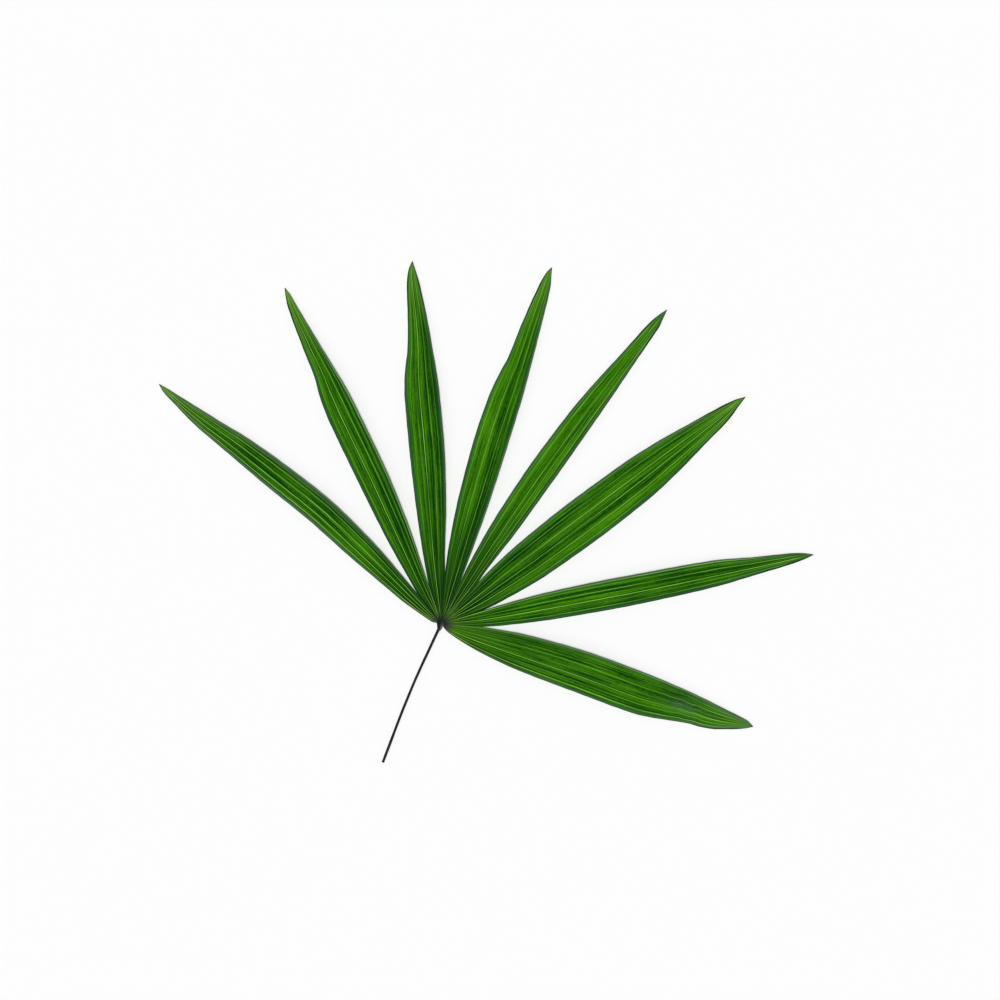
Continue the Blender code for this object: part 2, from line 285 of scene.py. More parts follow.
# The cut end: how many cells there are in a millimetre, and where their pale dots begin to end
# and have ended.
CUT_CELLS, CUT_DOTS = 5.0, (0.12, 0.4)
# The knot: the lightness of its dry skin, where its dark skin begins to end and has ended, from
# the core's middle with the core's edge at 1, and its share where it is full.
KNOT_LIGHTNESS = 0.35
KNOT_DARK_REACH, KNOT_DARK_SHARE = (0.9, 1.7), 0.95

# The colours of the marks. The furrows' and the dark edges' colours are painted shade, the pale
# edge line's a painted highlight, the cooler margins' a painted reflection, and the ring's partly
# painted shade.
BLUE_GREEN = (0.0015, 0.05, 0.02)
YELLOW_GREEN = (0.13, 0.34, 0.015)
BLOOM_GREY = (0.11, 0.17, 0.11)
BASE_GREEN = (0.0, 0.014, 0.006)
FAR_GREEN = (0.001, 0.03, 0.004)
FURROW_SHADE = (0.0, 0.02, 0.005)
HUB_RIB_GREEN = (0.37, 0.75, 0.075)
RING_DARK_AND_SHADE = (0.004, 0.014, 0.013)
HUSK_BROWN = (0.06, 0.062, 0.054)
EDGE_HIGHLIGHT_GREEN = (0.17, 0.3, 0.12)
EDGE_SHADE_GREEN = (0.006, 0.017, 0.006)
POINT_BROWN = (0.05, 0.055, 0.04)
SCAR_GREY = (0.07, 0.14, 0.07)
SPECK_BROWN = (0.1, 0.09, 0.07)
KNOT_DRY = ((0.011, 0.014, 0.013), (0.065, 0.06, 0.054))
CUT_PITH, CUT_FIBRE = (0.06, 0.05, 0.032), (0.2, 0.17, 0.11)
FIBRE_SKIN = ((0.004, 0.01, 0.011), (0.035, 0.036, 0.028))
COLLAR_SKIN = ((0.06, 0.058, 0.066), (0.24, 0.23, 0.24))

# How rough each finish is, how high its relief is in metres, and how strongly it mirrors light.
LEAF_ROUGHNESS, LEAF_RELIEF, LEAF_SHEEN = 0.6, 0.0002, 0.03
BARK_RELIEF, BARK_SHEEN = 0.0003, 0.12
STALK_ROUGHNESS, FIBRE_ROUGHNESS, COLLAR_ROUGHNESS, KNOT_ROUGHNESS = 0.55, 0.7, 0.75, 0.6
CUT_ROUGHNESS, CUT_RELIEF, CUT_SHEEN = 0.75, 0.0001, 0.2
RELIEF_STRENGTH = 0.6
# The underside: how light its dark bands, the pleats' painted shade, are beside its light ones,
# and how much its ribs show.
UNDER_BAND_SHADE, UNDER_RIBS = 0.6, 0.5

# The photo's frame: its width in metres at the leaf, its middle, and how far it is turned.
VIEW_WIDTH = 0.7478
VIEW_MIDDLE = (0.0056, 0.1023)
VIEW_TURN = math.radians(22.2)
VIEW_LENS, VIEW_SENSOR = 100.0, 36.0
LEAF_LEVEL = 0.005

# The lights: how broad they look in degrees, where they shine from, and their colour.
MAIN_LIGHT = (10, (-0.04, -0.09, 2.1), (1.0, 0.99, 0.975))
SIDE_LIGHT = (60, (-0.6, -1.4, 2.1), (1.0, 0.995, 0.985))
# The light from all round, and how bright the backdrop looks past the floor.
SKY_COLOUR = (0.96, 0.98, 1.0)
BACKDROP = 0.93


class Leaflet:
    """One leaflet, in millimetres and degrees.

    heading and length: its line from the hub. folds and fine_ribs: (share of the width from the
    left, strength of the rib). widths: (distance, left half width, right half width).
    pleat_light_bands: (share of the width, lightness), the pleats' painted light and shade as
    lengthwise bands. arch and tip_lift: how much its middle and its tip are raised. edge_highlights:
    how strong the painted highlight along its left and right edges is. kinks: (side, distance, step)
    where the edge steps in.
    """

    def __init__(self, heading, length, folds, fine_ribs, widths, pleat_light_bands, arch, tip_lift,
                 edge_highlights, kinks=()):
        self.heading = math.radians(heading)
        self.length = length
        self.folds = folds
        self.ribs = folds + fine_ribs
        self.widths = widths
        self.pleat_light_bands = pleat_light_bands
        self.arch = arch
        self.tip_lift = tip_lift
        self.edge_highlights = edge_highlights
        self.kinks = kinks
        self.widest = max(left + right for _, left, right in widths)

    def place(self, along, across):
        """A point of the plane from its distance along the line and to the right of it."""
        cosine, sine = math.cos(self.heading), math.sin(self.heading)
        return np.array((along * cosine + across * sine, along * sine - across * cosine))

    def measure(self, points):
        """The distance along the line, and to the right of it, of points of the plane."""
        cosine, sine = math.cos(self.heading), math.sin(self.heading)
        x, y = points[..., 0], points[..., 1]
        return x * cosine + y * sine, x * sine - y * cosine


LEAFLETS = (
    Leaflet(161.9, 277.5,
            ((0.15, 1.0), (0.34, 1.0), (0.56, 0.9), (0.77, 0.6), (0.88, 0.3)), ((0.07, 0.05),),
            ((36, 6, 7), (81, 6, 14), (126, 5, 17), (171, 6, 15), (201, 6, 12), (231, 6.1, 7.4),
             (261, 3.7, 2.9), (271, 2.5, 1.5)),
            ((0.0, 0.25), (0.07, 0.0), (0.12, 0.35), (0.18, 0.8), (0.24, 0.35), (0.34, 0.7),
             (0.41, 0.15), (0.49, 0.35), (0.57, 0.85), (0.64, 0.35), (0.71, 0.2), (0.77, 0.55),
             (0.84, 0.25), (1.0, 0.2)),
            5.0, 0.0, (0.5, 0.8), ((1, 211, 0.4),)),
    Leaflet(137.2, 277.5,
            ((0.15, 0.15), (0.42, 1.0), (0.68, 0.55), (0.84, 0.3)), ((0.27, 0.2), (0.94, 0.65)),
            ((37, 7.5, 4.5), (82, 10.5, 9.5), (127, 11.5, 11.5), (172, 12, 11), (187, 11, 10.5),
             (202, 8.8, 9), (232, 6.6, 5.6), (262, 4.2, 2.5), (271, 2.3, 1.7)),
            ((0.0, 0.1), (0.06, 0.1), (0.16, 0.7), (0.26, 0.4), (0.36, 0.35), (0.44, 0.8),
             (0.55, 0.25), (0.62, 0.2), (0.69, 0.7), (0.75, 0.2), (0.85, 0.4), (0.9, 0.05),
             (1.0, 0.4)),
            6.5, 1.6, (0.0, 1.0), ((-1, 203, 0.9),)),
    Leaflet(116.8, 272.5,
            ((0.18, 0.2), (0.44, 1.0), (0.68, 0.4), (0.84, 0.25)), ((0.33, 0.15),),
            ((47, 9, 6.5), (92, 12, 11), (137, 13.5, 13), (170, 13.8, 12.5), (182, 13, 12),
             (205, 9.2, 10), (227, 7, 7.9), (257, 5.3, 3.8), (266.5, 3.2, 1.7)),
            ((0.0, 0.0), (0.08, 0.2), (0.18, 0.6), (0.29, 0.25), (0.4, 0.45), (0.46, 0.65),
             (0.55, 0.3), (0.62, 0.2), (0.7, 0.45), (0.77, 0.2), (0.85, 0.25), (0.92, 0.0),
             (1.0, 0.1)),
            5.5, 0.9, (0.1, 0.35), ((-1, 202, 0.5),)),
    Leaflet(95.0, 279.5,
            ((0.14, 0.3), (0.43, 0.4), (0.68, 0.5), (0.83, 0.15)), ((0.35, 0.1),),
            ((54, 11.5, 5.5), (99, 16, 7.5), (144, 17.5, 8), (174, 16.3, 8), (204, 11.6, 7),
             (234, 8.8, 5.5), (264, 5.1, 3.6), (274, 2.9, 1.5)),
            ((0.0, 0.3), (0.06, 0.45), (0.13, 0.95), (0.24, 0.45), (0.36, 0.5), (0.44, 0.65),
             (0.54, 0.4), (0.61, 0.2), (0.68, 0.5), (0.75, 0.25), (0.84, 0.25), (0.91, 0.1),
             (1.0, 0.3)),
            6.8, 0.0, (0.1, 0.6), ((-1, 201, 0.6),)),
    Leaflet(76.5, 289.5,
            ((0.2, 0.5), (0.51, 0.5), (0.67, 0.4), (0.82, 0.6)), ((0.09, 0.2), (0.92, 0.25)),
            ((49, 9.5, 4), (94, 14, 5.5), (139, 15.5, 5.5), (184, 14.5, 5), (214, 12, 4.5),
             (244, 8.4, 3.6), (274, 5, 2.9), (283, 2.7, 1.4)),
            ((0.0, 0.5), (0.1, 0.5), (0.19, 0.9), (0.29, 0.5), (0.43, 0.45), (0.51, 0.65),
             (0.58, 0.4), (0.67, 0.6), (0.74, 0.45), (0.81, 0.75), (0.88, 0.35), (0.95, 0.05),
             (1.0, 0.3)),
            5.6, 1.3, (0.3, 0.2)),
    Leaflet(58.9, 284,
            ((0.2, 0.45), (0.39, 0.75), (0.56, 0.65), (0.735, 1.0), (0.9, 0.4)),
            ((0.05, 0.3), (0.47, 0.1)),
            ((43, 9, 13), (88, 14, 18), (133, 15.5, 19), (178, 15, 18), (208, 13, 15),
             (238, 9.1, 10.2), (268, 4.9, 5.1), (277, 2.9, 2.2)),
            ((0.0, 0.35), (0.06, 0.5), (0.13, 0.3), (0.24, 0.2), (0.31, 0.5), (0.39, 0.85),
             (0.48, 0.45), (0.52, 0.25), (0.57, 0.45), (0.62, 0.2), (0.7, 0.5), (0.76, 0.9),
             (0.85, 0.5), (0.92, 0.45), (1.0, 0.0)),
            7.0, 1.8, (0.3, 0.0), ((1, 266, 0.5),)),
    Leaflet(32.7, 283.5,
            ((0.16, 0.2), (0.33, 0.5), (0.59, 1.0), (0.85, 0.45)), ((0.065, 0.8), (0.71, 0.2)),
            ((43, 5.5, 9.5), (88, 9, 12), (133, 10, 12.5), (178, 10, 11.5), (208, 9.5, 10),
             (238, 6.5, 6.9), (268, 4, 3.6), (277, 2.4, 1.9)),
            ((0.0, 0.4), (0.07, 0.7), (0.16, 0.45), (0.27, 0.25), (0.34, 0.5), (0.4, 0.25),
             (0.5, 0.45), (0.6, 0.9), (0.66, 0.35), (0.72, 0.45), (0.79, 0.25), (0.86, 0.45),
             (0.93, -0.05), (1.0, 0.05)),
            5.8, 1.1, (0.7, 0.0)),
    Leaflet(3.9, 246,
            ((0.18, 0.2), (0.33, 0.35), (0.61, 0.65), (0.75, 0.3), (0.88, 0.85)),
            ((0.04, 0.3), (0.48, 0.2)),
            ((36, 8.5, 11.5), (66, 12.5, 15), (111, 14.5, 17), (156, 13, 18.5), (186, 10.7, 15),
             (200, 9.2, 13.0), (216, 6.9, 11.2), (231, 4.7, 6.9), (240, 3.3, 3.5)),
            ((0.0, 0.6), (0.08, 0.45), (0.2, 0.2), (0.28, 0.45), (0.34, 0.45), (0.42, 0.3),
             (0.48, 0.35), (0.53, 0.3), (0.62, 0.7), (0.7, 0.35), (0.75, 0.45), (0.82, 0.25),
             (0.89, 0.8), (0.95, 0.1), (1.0, 0.4)),
            5.2, 0.0, (0.8, 0.3), ((1, 202, -0.9),)),
)


def colour_property(name, description, default):
    return bpy.props.FloatVectorProperty(name=name, description=description, default=default,
                                         subtype="COLOR", size=3, min=0.0, max=1.0)


class BladeSettings(bpy.types.PropertyGroup):
    thickness: bpy.props.FloatProperty(
        name="Blade thickness", description="Thickness of the blade between its ribs",
        default=0.00048, min=0.0003, max=0.0006, precision=5, unit="LENGTH")
    fold_height: bpy.props.FloatProperty(
        name="Fold height", description="Height of the pleats at the middle of a leaflet",
        default=0.00095, min=0.0004, max=0.001, precision=5, unit="LENGTH")
    rib_height: bpy.props.FloatProperty(
        name="Rib height", description="How far a strong rib stands out of the upper face",
        default=0.00016, min=0.0, max=0.0002, precision=5, unit="LENGTH")
    # The lightest and darkest bands of the tissue are the pleats' painted light and shade, and the
    # underside's light bands their painted light.
    lit_band_green: colour_property("Light green", "The tissue's lightest bands", (0.079, 0.325, 0.002))
    shaded_band_green: colour_property("Dark green", "The tissue's darkest bands", (0.001, 0.044, 0.0008))
    # The cool green of the margins is a painted reflection.
    reflection_green: colour_property("Cool green", "The tissue near the margins", (0.038, 0.12, 0.036))
    rib_green: colour_property("Rib green", "The raised ribs", (0.31, 0.7, 0.12))
    under_green: colour_property("Underside green", "The underside's light bands", (0.1, 0.26, 0.05))


class StalkSettings(bpy.types.PropertyGroup):
    bark: colour_property("Stalk", "The stalk's skin", (0.002, 0.003, 0.004))
    bark_light: colour_property("Stalk streaks", "The lighter streaks of the skin", (0.018, 0.02, 0.023))
    knot: colour_property("Knot", "The knot's skin", (0.006, 0.009, 0.016))
    fibres: bpy.props.IntProperty(
        name="Fibres", description="How many fine dry fibres lie round the knot",
        default=18, min=0, max=60)


class StageSettings(bpy.types.PropertyGroup):
    floor: colour_property("Floor", "The plain pale floor", (0.595, 0.6, 0.605))
    floor_glow: bpy.props.FloatProperty(
        name="Floor glow", description="How much light the floor gives by itself",
        default=0.35, min=0.0, max=1.0)
    floor_size: bpy.props.FloatProperty(
        name="Floor size", description="Length of the floor's sides",
        default=12.0, min=2.0, max=40.0, unit="LENGTH")
    key_power: bpy.props.FloatProperty(
        name="Main light", description="Strength of the main light",
        default=2.4, min=0.0, max=10.0)
    fill_power: bpy.props.FloatProperty(
        name="Side light", description="Strength of the side light",
        default=0.42, min=0.0, max=10.0)
    sky: bpy.props.FloatProperty(
        name="Surroundings", description="Strength of the light from all round",
        default=0.2, min=0.0, max=10.0)


def ease(start, end, value):
    """0 before start and 1 after end, with a smooth rise between them."""
    share = np.clip((value - start) / (end - start), 0.0, 1.0)
    return share * share * (3 - 2 * share)


def hump(middle, reach, value):
    """1 at the middle, falling off to nothing on both sides."""
    return np.exp(-((value - middle) / reach) ** 2)


def smooth_curve(points, at):
    """The height at one place of the curve through (place, height) points. It has no overshoot."""
    places = [place for place, _ in points]
    heights = [height for _, height in points]
    steps = [b - a for a, b in zip(places, places[1:])]
    slopes = [(b - a) / step for a, b, step in zip(heights, heights[1:], steps)]
    tangents = [slopes[0]]
    for before, after in zip(slopes, slopes[1:]):
        level = before * after <= 0
        tangents.append(0.0 if level else 2 * before * after / (before + after))
    tangents.append(slopes[-1])
    i = min(sum(place < at for place in places[1:-1]), len(steps) - 1)
    share = (at - places[i]) / steps[i]
    rise = tangents[i] * steps[i] * share * (1 - share) ** 2
    fall = tangents[i + 1] * steps[i] * share ** 2 * (share - 1)
    return (heights[i] * (1 + 2 * share) * (1 - share) ** 2
            + heights[i + 1] * share ** 2 * (3 - 2 * share) + rise + fall)


def cleft(number):
    """The point where leaflets number and number + 1 part."""
    direction, distance = CLEFTS[number]
    angle = math.radians(direction)
    return np.array((math.cos(angle), math.sin(angle))) * distance


def is_outer(number, side):
    return (number, side) in ((0, -1), (len(LEAFLETS) - 1, 1))


def margin(number, side):
    """The (distance, half width) points of a leaflet's edge on side -1 (left) or 1 (right)."""
    leaflet = LEAFLETS[number]
    free = [(entry[0], entry[1] if side < 0 else entry[2]) for entry in leaflet.widths]
    free.append((leaflet.length, TIP_WIDTH / 2))
    if is_outer(number, side):
        return list(FIRST_EDGE if side < 0 else LAST_EDGE) + free
    along, across = leaflet.measure(cleft(number - 1 if side < 0 else number))
    return [(along, abs(across))] + free


def kinked(leaflet, side, along, width):
    """The half width with the leaflet's kinks: the edge stands out before one and in behind it."""
    for kink_side, distance, step in leaflet.kinks:
        if kink_side == side:
            offset = along - distance
            width -= (step / 2 * math.tanh(offset / KINK_STEP)
                      * math.exp(-(offset / KINK_REACH) ** 2))
    short, long = EDGE_WAVE_LENGTHS
    wave = math.sin(along / short + side) * math.sin(along / long + 2 * side)
    return width + EDGE_WAVE * wave


def edge_point(number, side, stage):
    """A point on a leaflet's edge: stage 0 is the hub ring, 1 where it comes free, 2 its tip."""
    leaflet = LEAFLETS[number]
    points = margin(number, side)
    outer = is_outer(number, side)
    free_from = leaflet.widths[0][0] if outer else points[0][0]
    if stage < 1 and not outer:
        corner = cleft(number - 1 if side < 0 else number)
        distance = math.hypot(*corner)
        return corner / distance * (HUB_RING + (distance - HUB_RING) * stage)
    if stage < 1:
        along = points[0][0] + (free_from - points[0][0]) * stage
    else:
        along = free_from + (leaflet.length - free_from) * (stage - 1)
    width = smooth_curve(points, along)
    if stage > 1:
        rough = min((stage - 1) * EDGE_ONSET, (2 - stage) * EDGE_END, 1.0)
        width += (kinked(leaflet, side, along, width) - width) * rough
    return leaflet.place(along, side * width)


def fold_lines(leaflet):
    """(share of the width, height share) of the fold lines: ribs up, valleys between them."""
    lines = [(0.0, MARGIN)]
    ribs = [share for share, _ in leaflet.folds]
    for rib, following in zip(ribs, ribs[1:] + [None]):
        lines.append((rib, 1.0))
        if following:
            depth = min(VALLEY_DEPTH, VALLEY_STEEPNESS * (following - rib) * leaflet.widest)
            lines.append(((rib + following) / 2, 1.0 - depth))
    lines.append((1.0, MARGIN))
    return lines


def fold_profile(leaflet, shares):
    """The height share of the folds at shares of the width, a little rounded."""
    places, heights = zip(*fold_lines(leaflet))
    i = np.clip(np.searchsorted(places, shares, side="right") - 1, 0, len(places) - 2)
    places, heights = np.array(places), np.array(heights)
    share = (shares - places[i]) / (places[i + 1] - places[i])
    round_share = share * share * (3 - 2 * share)
    share = share + (round_share - share) * FOLD_ROUNDNESS
    return heights[i] + (heights[i + 1] - heights[i]) * share


def column_shares(leaflet):
    """Where columns of the mesh run, as shares of the width: close at ribs and margins."""
    widest = leaflet.widest
    wanted = [0.0, 1.0]
    wanted += [share + offset / widest for share, _ in leaflet.ribs for offset in RIB_COLUMNS]
    wanted += [offset / widest for offset in EDGE_COLUMNS]
    wanted += [1 - offset / widest for offset in EDGE_COLUMNS]
    wanted += [share for share, _ in fold_lines(leaflet)]
    wanted += list(np.linspace(0, 1, int(widest / COLUMN_SPACING)))
    shares = [0.0]
    for share in wanted[1:]:
        if 0 < share <= 1 and min(abs(share - s) for s in shares) * widest > LEAST_SPACING:
            shares.append(share)
    return np.array(sorted(shares))


def row_stages():
    """The stage of each row of the mesh; the free rows crowd a little towards the tip."""
    joined = [row / JOINED_ROWS for row in range(JOINED_ROWS)]
    free = [2 - (1 - row / FREE_ROWS) ** ROW_CROWDING for row in range(FREE_ROWS + 1)]
    return joined + free


def arch(length, height, tip_height, reach):
    """The height of an arch that leaves the hub and comes down to tip_height at length."""
    share = reach / length
    return HUB_TOP * (1 - share) + tip_height * share + 4 * height * share * (1 - share)


class LeafShape:
    """The grid of one leaflet: the places, heights and shader values of its rows and columns."""

    def __init__(self, number, settings):
        self.number = number
        self.leaflet = LEAFLETS[number]
        self.shares = column_shares(self.leaflet)
        self.stages = np.array(row_stages())
        self.thickness = settings.thickness / MM
        self.fold_height = settings.fold_height / MM
        self.rib_height = settings.rib_height / MM
        self.lay_out()
        self.raise_heights()
        self.set_values()

    def lay_out(self):
        left = np.array([edge_point(self.number, -1, stage) for stage in self.stages])
        right = np.array([edge_point(self.number, 1, stage) for stage in self.stages])
        share = self.shares[None, :, None]
        self.plane = self.straighten(left[:, None] * (1 - share) + right[:, None] * share)
        self.width = np.linalg.norm(right - left, axis=1)[:, None]
        self.along, _ = self.leaflet.measure(self.plane)
        self.scar = np.zeros_like(self.along)
        if self.number == SCAR_LEAFLET:
            self.add_scar()
        self.reach = np.linalg.norm(self.plane, axis=2)
        self.to_tip = np.maximum(self.leaflet.length - self.along, 0)

    def straighten(self, plane):
        """Lets the ribs run on evenly where the leaflet comes free, between edges that stay."""
        even = plane.copy()
        for _ in range(EVEN_ROUNDS):
            even[1:-1] = (even[:-2] + 2 * even[1:-1] + even[2:]) / 4
        rows = np.arange(len(plane))[:, None, None]
        share = (hump(JOINED_ROWS, EVEN_ROWS, rows)
                 * (1 - (2 * self.shares - 1) ** 4)[None, :, None])
        return plane + (even - plane) * share

    def add_scar(self):
        """Lets the ribs sway where the leaflet is damaged."""
        near = hump(SCAR_ALONG, SCAR_REACH, self.along)
        inside = np.sin(math.pi * self.shares)[None, :]
        wave = np.sin(2 * math.pi * (self.along - SCAR_ALONG) / SCAR_PERIOD)
        sideways = self.leaflet.place(0.0, 1.0)
        self.plane = self.plane + (SCAR_SWAY * wave * near * inside)[..., None] * sideways
        self.scar = near * hump(SCAR_SHARE, SCAR_BREADTH, self.shares)[None, :]

    def ribs(self):
        """The distance in millimetres to the nearest rib and that rib's strength."""
        places = np.array([share for share, _ in self.leaflet.ribs])
        strengths = np.array([strength for _, strength in self.leaflet.ribs])
        gaps = np.abs(self.shares[:, None] - places)
        nearest = gaps.argmin(axis=1)
        off_furthest = np.abs(places[nearest] - FURTHEST_RIB)[None, :]
        end, whole = (least + more * off_furthest for least, more in (RIB_END, RIB_WHOLE))
        lasting = ease(end, whole, self.to_tip)
        return gaps.min(axis=1)[None, :] * self.width, strengths[nearest][None, :] * lasting

    def raise_heights(self):
        leaflet = self.leaflet
        own = arch(leaflet.length, leaflet.arch, SOLID_THICKNESS + leaflet.tip_lift, self.reach)
        shared = arch(MEAN_LENGTH, MEAN_ARCH, SOLID_THICKNESS, self.reach)
        free = ease(JOINED_REACH, FREE_REACH, self.reach)
        fade = np.minimum(self.to_tip / TIP_FADE, 1.0)
        across = 2 * self.shares - 1
        folds = np.minimum(FOLD_SLOPE * self.reach, self.fold_height)
        folds = folds * fold_profile(leaflet, self.shares)
        crown = CROWN_HEIGHT * (1 - across ** 2) * free
        wave = np.sin(self.reach / WAVE_STEP + WAVE_TURN * self.number) * across
        wave = WAVE_HEIGHT * free * wave
        base = shared + (own - shared) * free + (folds + crown + wave) * fade - SINK
        base = base + self.unevenness() * free * np.minimum(self.to_tip / DENT_FADE, 1)
        near, strength = self.ribs()
        narrow = NARROW_RIB + (1 - NARROW_RIB) * self.width / leaflet.widest
        bead = np.exp(-(near / (RIB_HALF_WIDTH * narrow)) ** 2)
        bead = bead * (WEAK_RIB + (1 - WEAK_RIB) * strength)
        bead = bead * np.minimum(self.to_tip / RIB_TAPER, 1) * self.rib_height
        bead = bead * ease(*RIB_ONSET, self.reach)
        self.upper = base + bead
        self.lower = base - self.thickness - UNDER_RIB * bead

    def unevenness(self):
        """Shallow dents of the blade between its ribs."""
        dents = 0
        for length, turn, order, share in DENTS:
            shift = order * DENT_SHIFT * self.number
            dents = dents + share * np.sin(self.along / length + turn * self.shares + shift)
        length, turn = SCAR_CRUMPLE
        crumple = np.sin(self.along / length + turn * self.shares) * self.scar
        return DENT_DEPTH * dents * np.sin(math.pi * self.shares) + SCAR_BUMP * crumple

    def set_values(self):
        """The values that the materials read at each point of the grid."""
        near, strength = self.ribs()
        ones = np.ones_like(self.along)
        left, right = self.shares[None, :] * self.width, (1 - self.shares[None, :]) * self.width
        free = ease(*EDGE_COLOUR, self.stages[:, None])
        sides = [ones if is_outer(self.number, side) else free * ones for side in (-1, 1)]
        coloured = np.where(left < right, *sides)
        # How strong the painted highlight along each edge is.
        edge_highlight_share = np.where(left < right, *self.leaflet.edge_highlights)
        # The pleats' painted light and shade, as bands across the width.
        places, pleat_light_bands = zip(*self.leaflet.pleat_light_bands)
        tone = np.interp(self.shares, places, pleat_light_bands)[None, :]
        base, base_reach, far, tip_glow, hub_glow, husk = SHADES[self.number]
        bloom, bloom_start, bloom_end = BLOOMS.get(self.number, NO_BLOOM)
        narrow = NARROW_MARKS + (1 - NARROW_MARKS) * self.width / self.leaflet.widest
        self.values = {
            "rib_near": near / narrow,
            "rib_strength": strength * ones,
            "edge_near": np.minimum(left, right),
            "edge_strength": LEAST_EDGE + (1 - LEAST_EDGE) * coloured,
            "edge_highlight": edge_highlight_share,
            "tone": tone * ones,
            "hub_reach": self.reach,
            "tip_near": self.to_tip,
            "base_shade": base * ease(base_reach, BASE_SHADE_FULL, self.reach),
            "far_shade": far * ease(*FAR_SHADE, self.reach),
            "glow": (tip_glow * ease(*TIP_GLOW, self.to_tip)
                     + hub_glow * ease(*HUB_GLOW, self.reach)),
            "bloom": bloom * ease(bloom_start, bloom_end, self.reach),
            "scar": self.scar,
            "husk": husk * hump(HUSK_REACH, HUSK_BREADTH, self.reach),
        }
        self.veins = self.shares[None, :] * self.leaflet.widest * ones


def leaf_sheet(rows, columns):
    """A closed flat sheet whose points know their row, their column and whether they lie below."""
    sheet = bmesh.new()
    row = sheet.verts.layers.int.new("row")
    column = sheet.verts.layers.int.new("column")
    below = sheet.verts.layers.int.new("below")
    grid = bmesh.ops.create_grid(sheet, x_segments=columns - 1, y_segments=rows - 1, size=1.0)
    for vertex in grid["verts"]:
        vertex[row] = round((vertex.co.y + 1) / 2 * (rows - 1))
        vertex[column] = round((vertex.co.x + 1) / 2 * (columns - 1))
    lower = bmesh.ops.extrude_face_region(sheet, geom=sheet.faces[:], use_keep_orig=True)
    for vertex in lower["geom"]:
        if isinstance(vertex, bmesh.types.BMVert):
            vertex[below] = 1
            vertex.co.z -= 1
    bmesh.ops.recalc_face_normals(sheet, faces=sheet.faces)
    mesh = bpy.data.meshes.new("sheet")
    sheet.to_mesh(mesh)
    sheet.free()
    return mesh


def point_values(mesh, name):
    values = np.empty(len(mesh.vertices), dtype=np.int32)
    mesh.attributes[name].data.foreach_get("value", values)
    return values


def shape_sheet(mesh, shape):
    """Moves the sheet's points to the leaflet's places, and gives them its shader values."""
    row, column, below = (point_values(mesh, name) for name in ("row", "column", "below"))
    height = np.where(below == 1, shape.lower[row, column], shape.upper[row, column])
    places = np.column_stack((shape.plane[row, column], height)) * MM
    mesh.vertices.foreach_set("co", places.astype(np.float32).ravel())
    for name, values in shape.values.items():
        layer = mesh.attributes.new(name, "FLOAT", "POINT")
        layer.data.foreach_set("value", values[row, column].astype(np.float32))
    layer = mesh.attributes.new("leaf_place", "FLOAT_VECTOR", "POINT")
    pattern = np.full(len(row), PATTERN_STEP * (shape.number + 1))
    vectors = np.column_stack((shape.veins[row, column], shape.along[row, column], pattern))
    layer.data.foreach_set("vector", vectors.astype(np.float32).ravel())
    return row, column, below


def unwrap_sheet(mesh, shape, row, column, below):
    """Lays the upper face on the left half of the map, the lower one on the right half, and the
    rim in narrow strips between them."""
    corners = np.empty(len(mesh.loops), dtype=np.int32)
    mesh.loops.foreach_get("vertex_index", corners)
    starts = np.array([polygon.loop_start for polygon in mesh.polygons])
    totals = np.array([polygon.loop_total for polygon in mesh.polygons])
    face = np.repeat(np.arange(len(totals)), totals)
    lower = below[corners]
    lower_count = np.add.reduceat(lower, starts)
    rim = ((lower_count > 0) & (lower_count < totals))[face]
    upwards = MAP_BORDER + (1 - 2 * MAP_BORDER) * shape.stages[row[corners]] / 2
    across = MAP_WIDTH * shape.shares[column[corners]]
    sideways = np.where(lower == 1, MAP_LOWER, MAP_BORDER) + across
    last = len(shape.shares) - 1
    on_left = np.add.reduceat((column[corners] == 0).astype(int), starts) == totals
    on_right = np.add.reduceat((column[corners] == last).astype(int), starts) == totals
    strip = np.where(on_left[face], *MAP_SIDES) + MAP_STRIP * lower
    side_rim = rim & (on_left | on_right)[face]
    end_rim = rim & ~(on_left | on_right)[face]
    sideways = np.where(side_rim, strip, sideways)
    ends = np.where(row[corners] == 0, *MAP_ENDS) + MAP_STRIP * lower
    upwards = np.where(end_rim, ends, upwards)
    sideways = np.where(end_rim, MAP_BORDER + across, sideways)
    layer = mesh.uv_layers.new(name="OFBake")
    layer.data.foreach_set("uv", np.column_stack((sideways, upwards)).astype(np.float32).ravel())
    below_face = (lower_count == totals).astype(np.int32)
    mesh.polygons.foreach_set("material_index", below_face)


def weld(mesh):
    """Joins the points that meet at the hub and the tip."""
    joined = bmesh.new()
    joined.from_mesh(mesh)
    bmesh.ops.remove_doubles(joined, verts=joined.verts, dist=WELD)
    bmesh.ops.dissolve_degenerate(joined, edges=joined.edges, dist=WELD / 4)
    joined.to_mesh(mesh)
    joined.free()


def add_piece(name, mesh, materials, node):
    """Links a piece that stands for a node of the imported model."""
    piece = bpy.data.objects.new(name, mesh)
    bpy.context.scene.collection.objects.link(piece)
    for material in materials:
        mesh.materials.append(material)
    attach(piece, BODY)
    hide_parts(node)
    return piece


def make_leaflet(number, settings, materials):
    shape = LeafShape(number, settings)
    mesh = leaf_sheet(len(shape.stages), len(shape.shares))
    row, column, below = shape_sheet(mesh, shape)
    for material in materials:
        mesh.materials.append(material)
    unwrap_sheet(mesh, shape, row, column, below)
    mesh.materials.clear()
    weld(mesh)
    mesh.shade_smooth()
    mesh.set_sharp_from_angle(angle=SHARP_LEAF)
    return add_piece(f"leaflet_{number + 1}", mesh, materials, "blade")


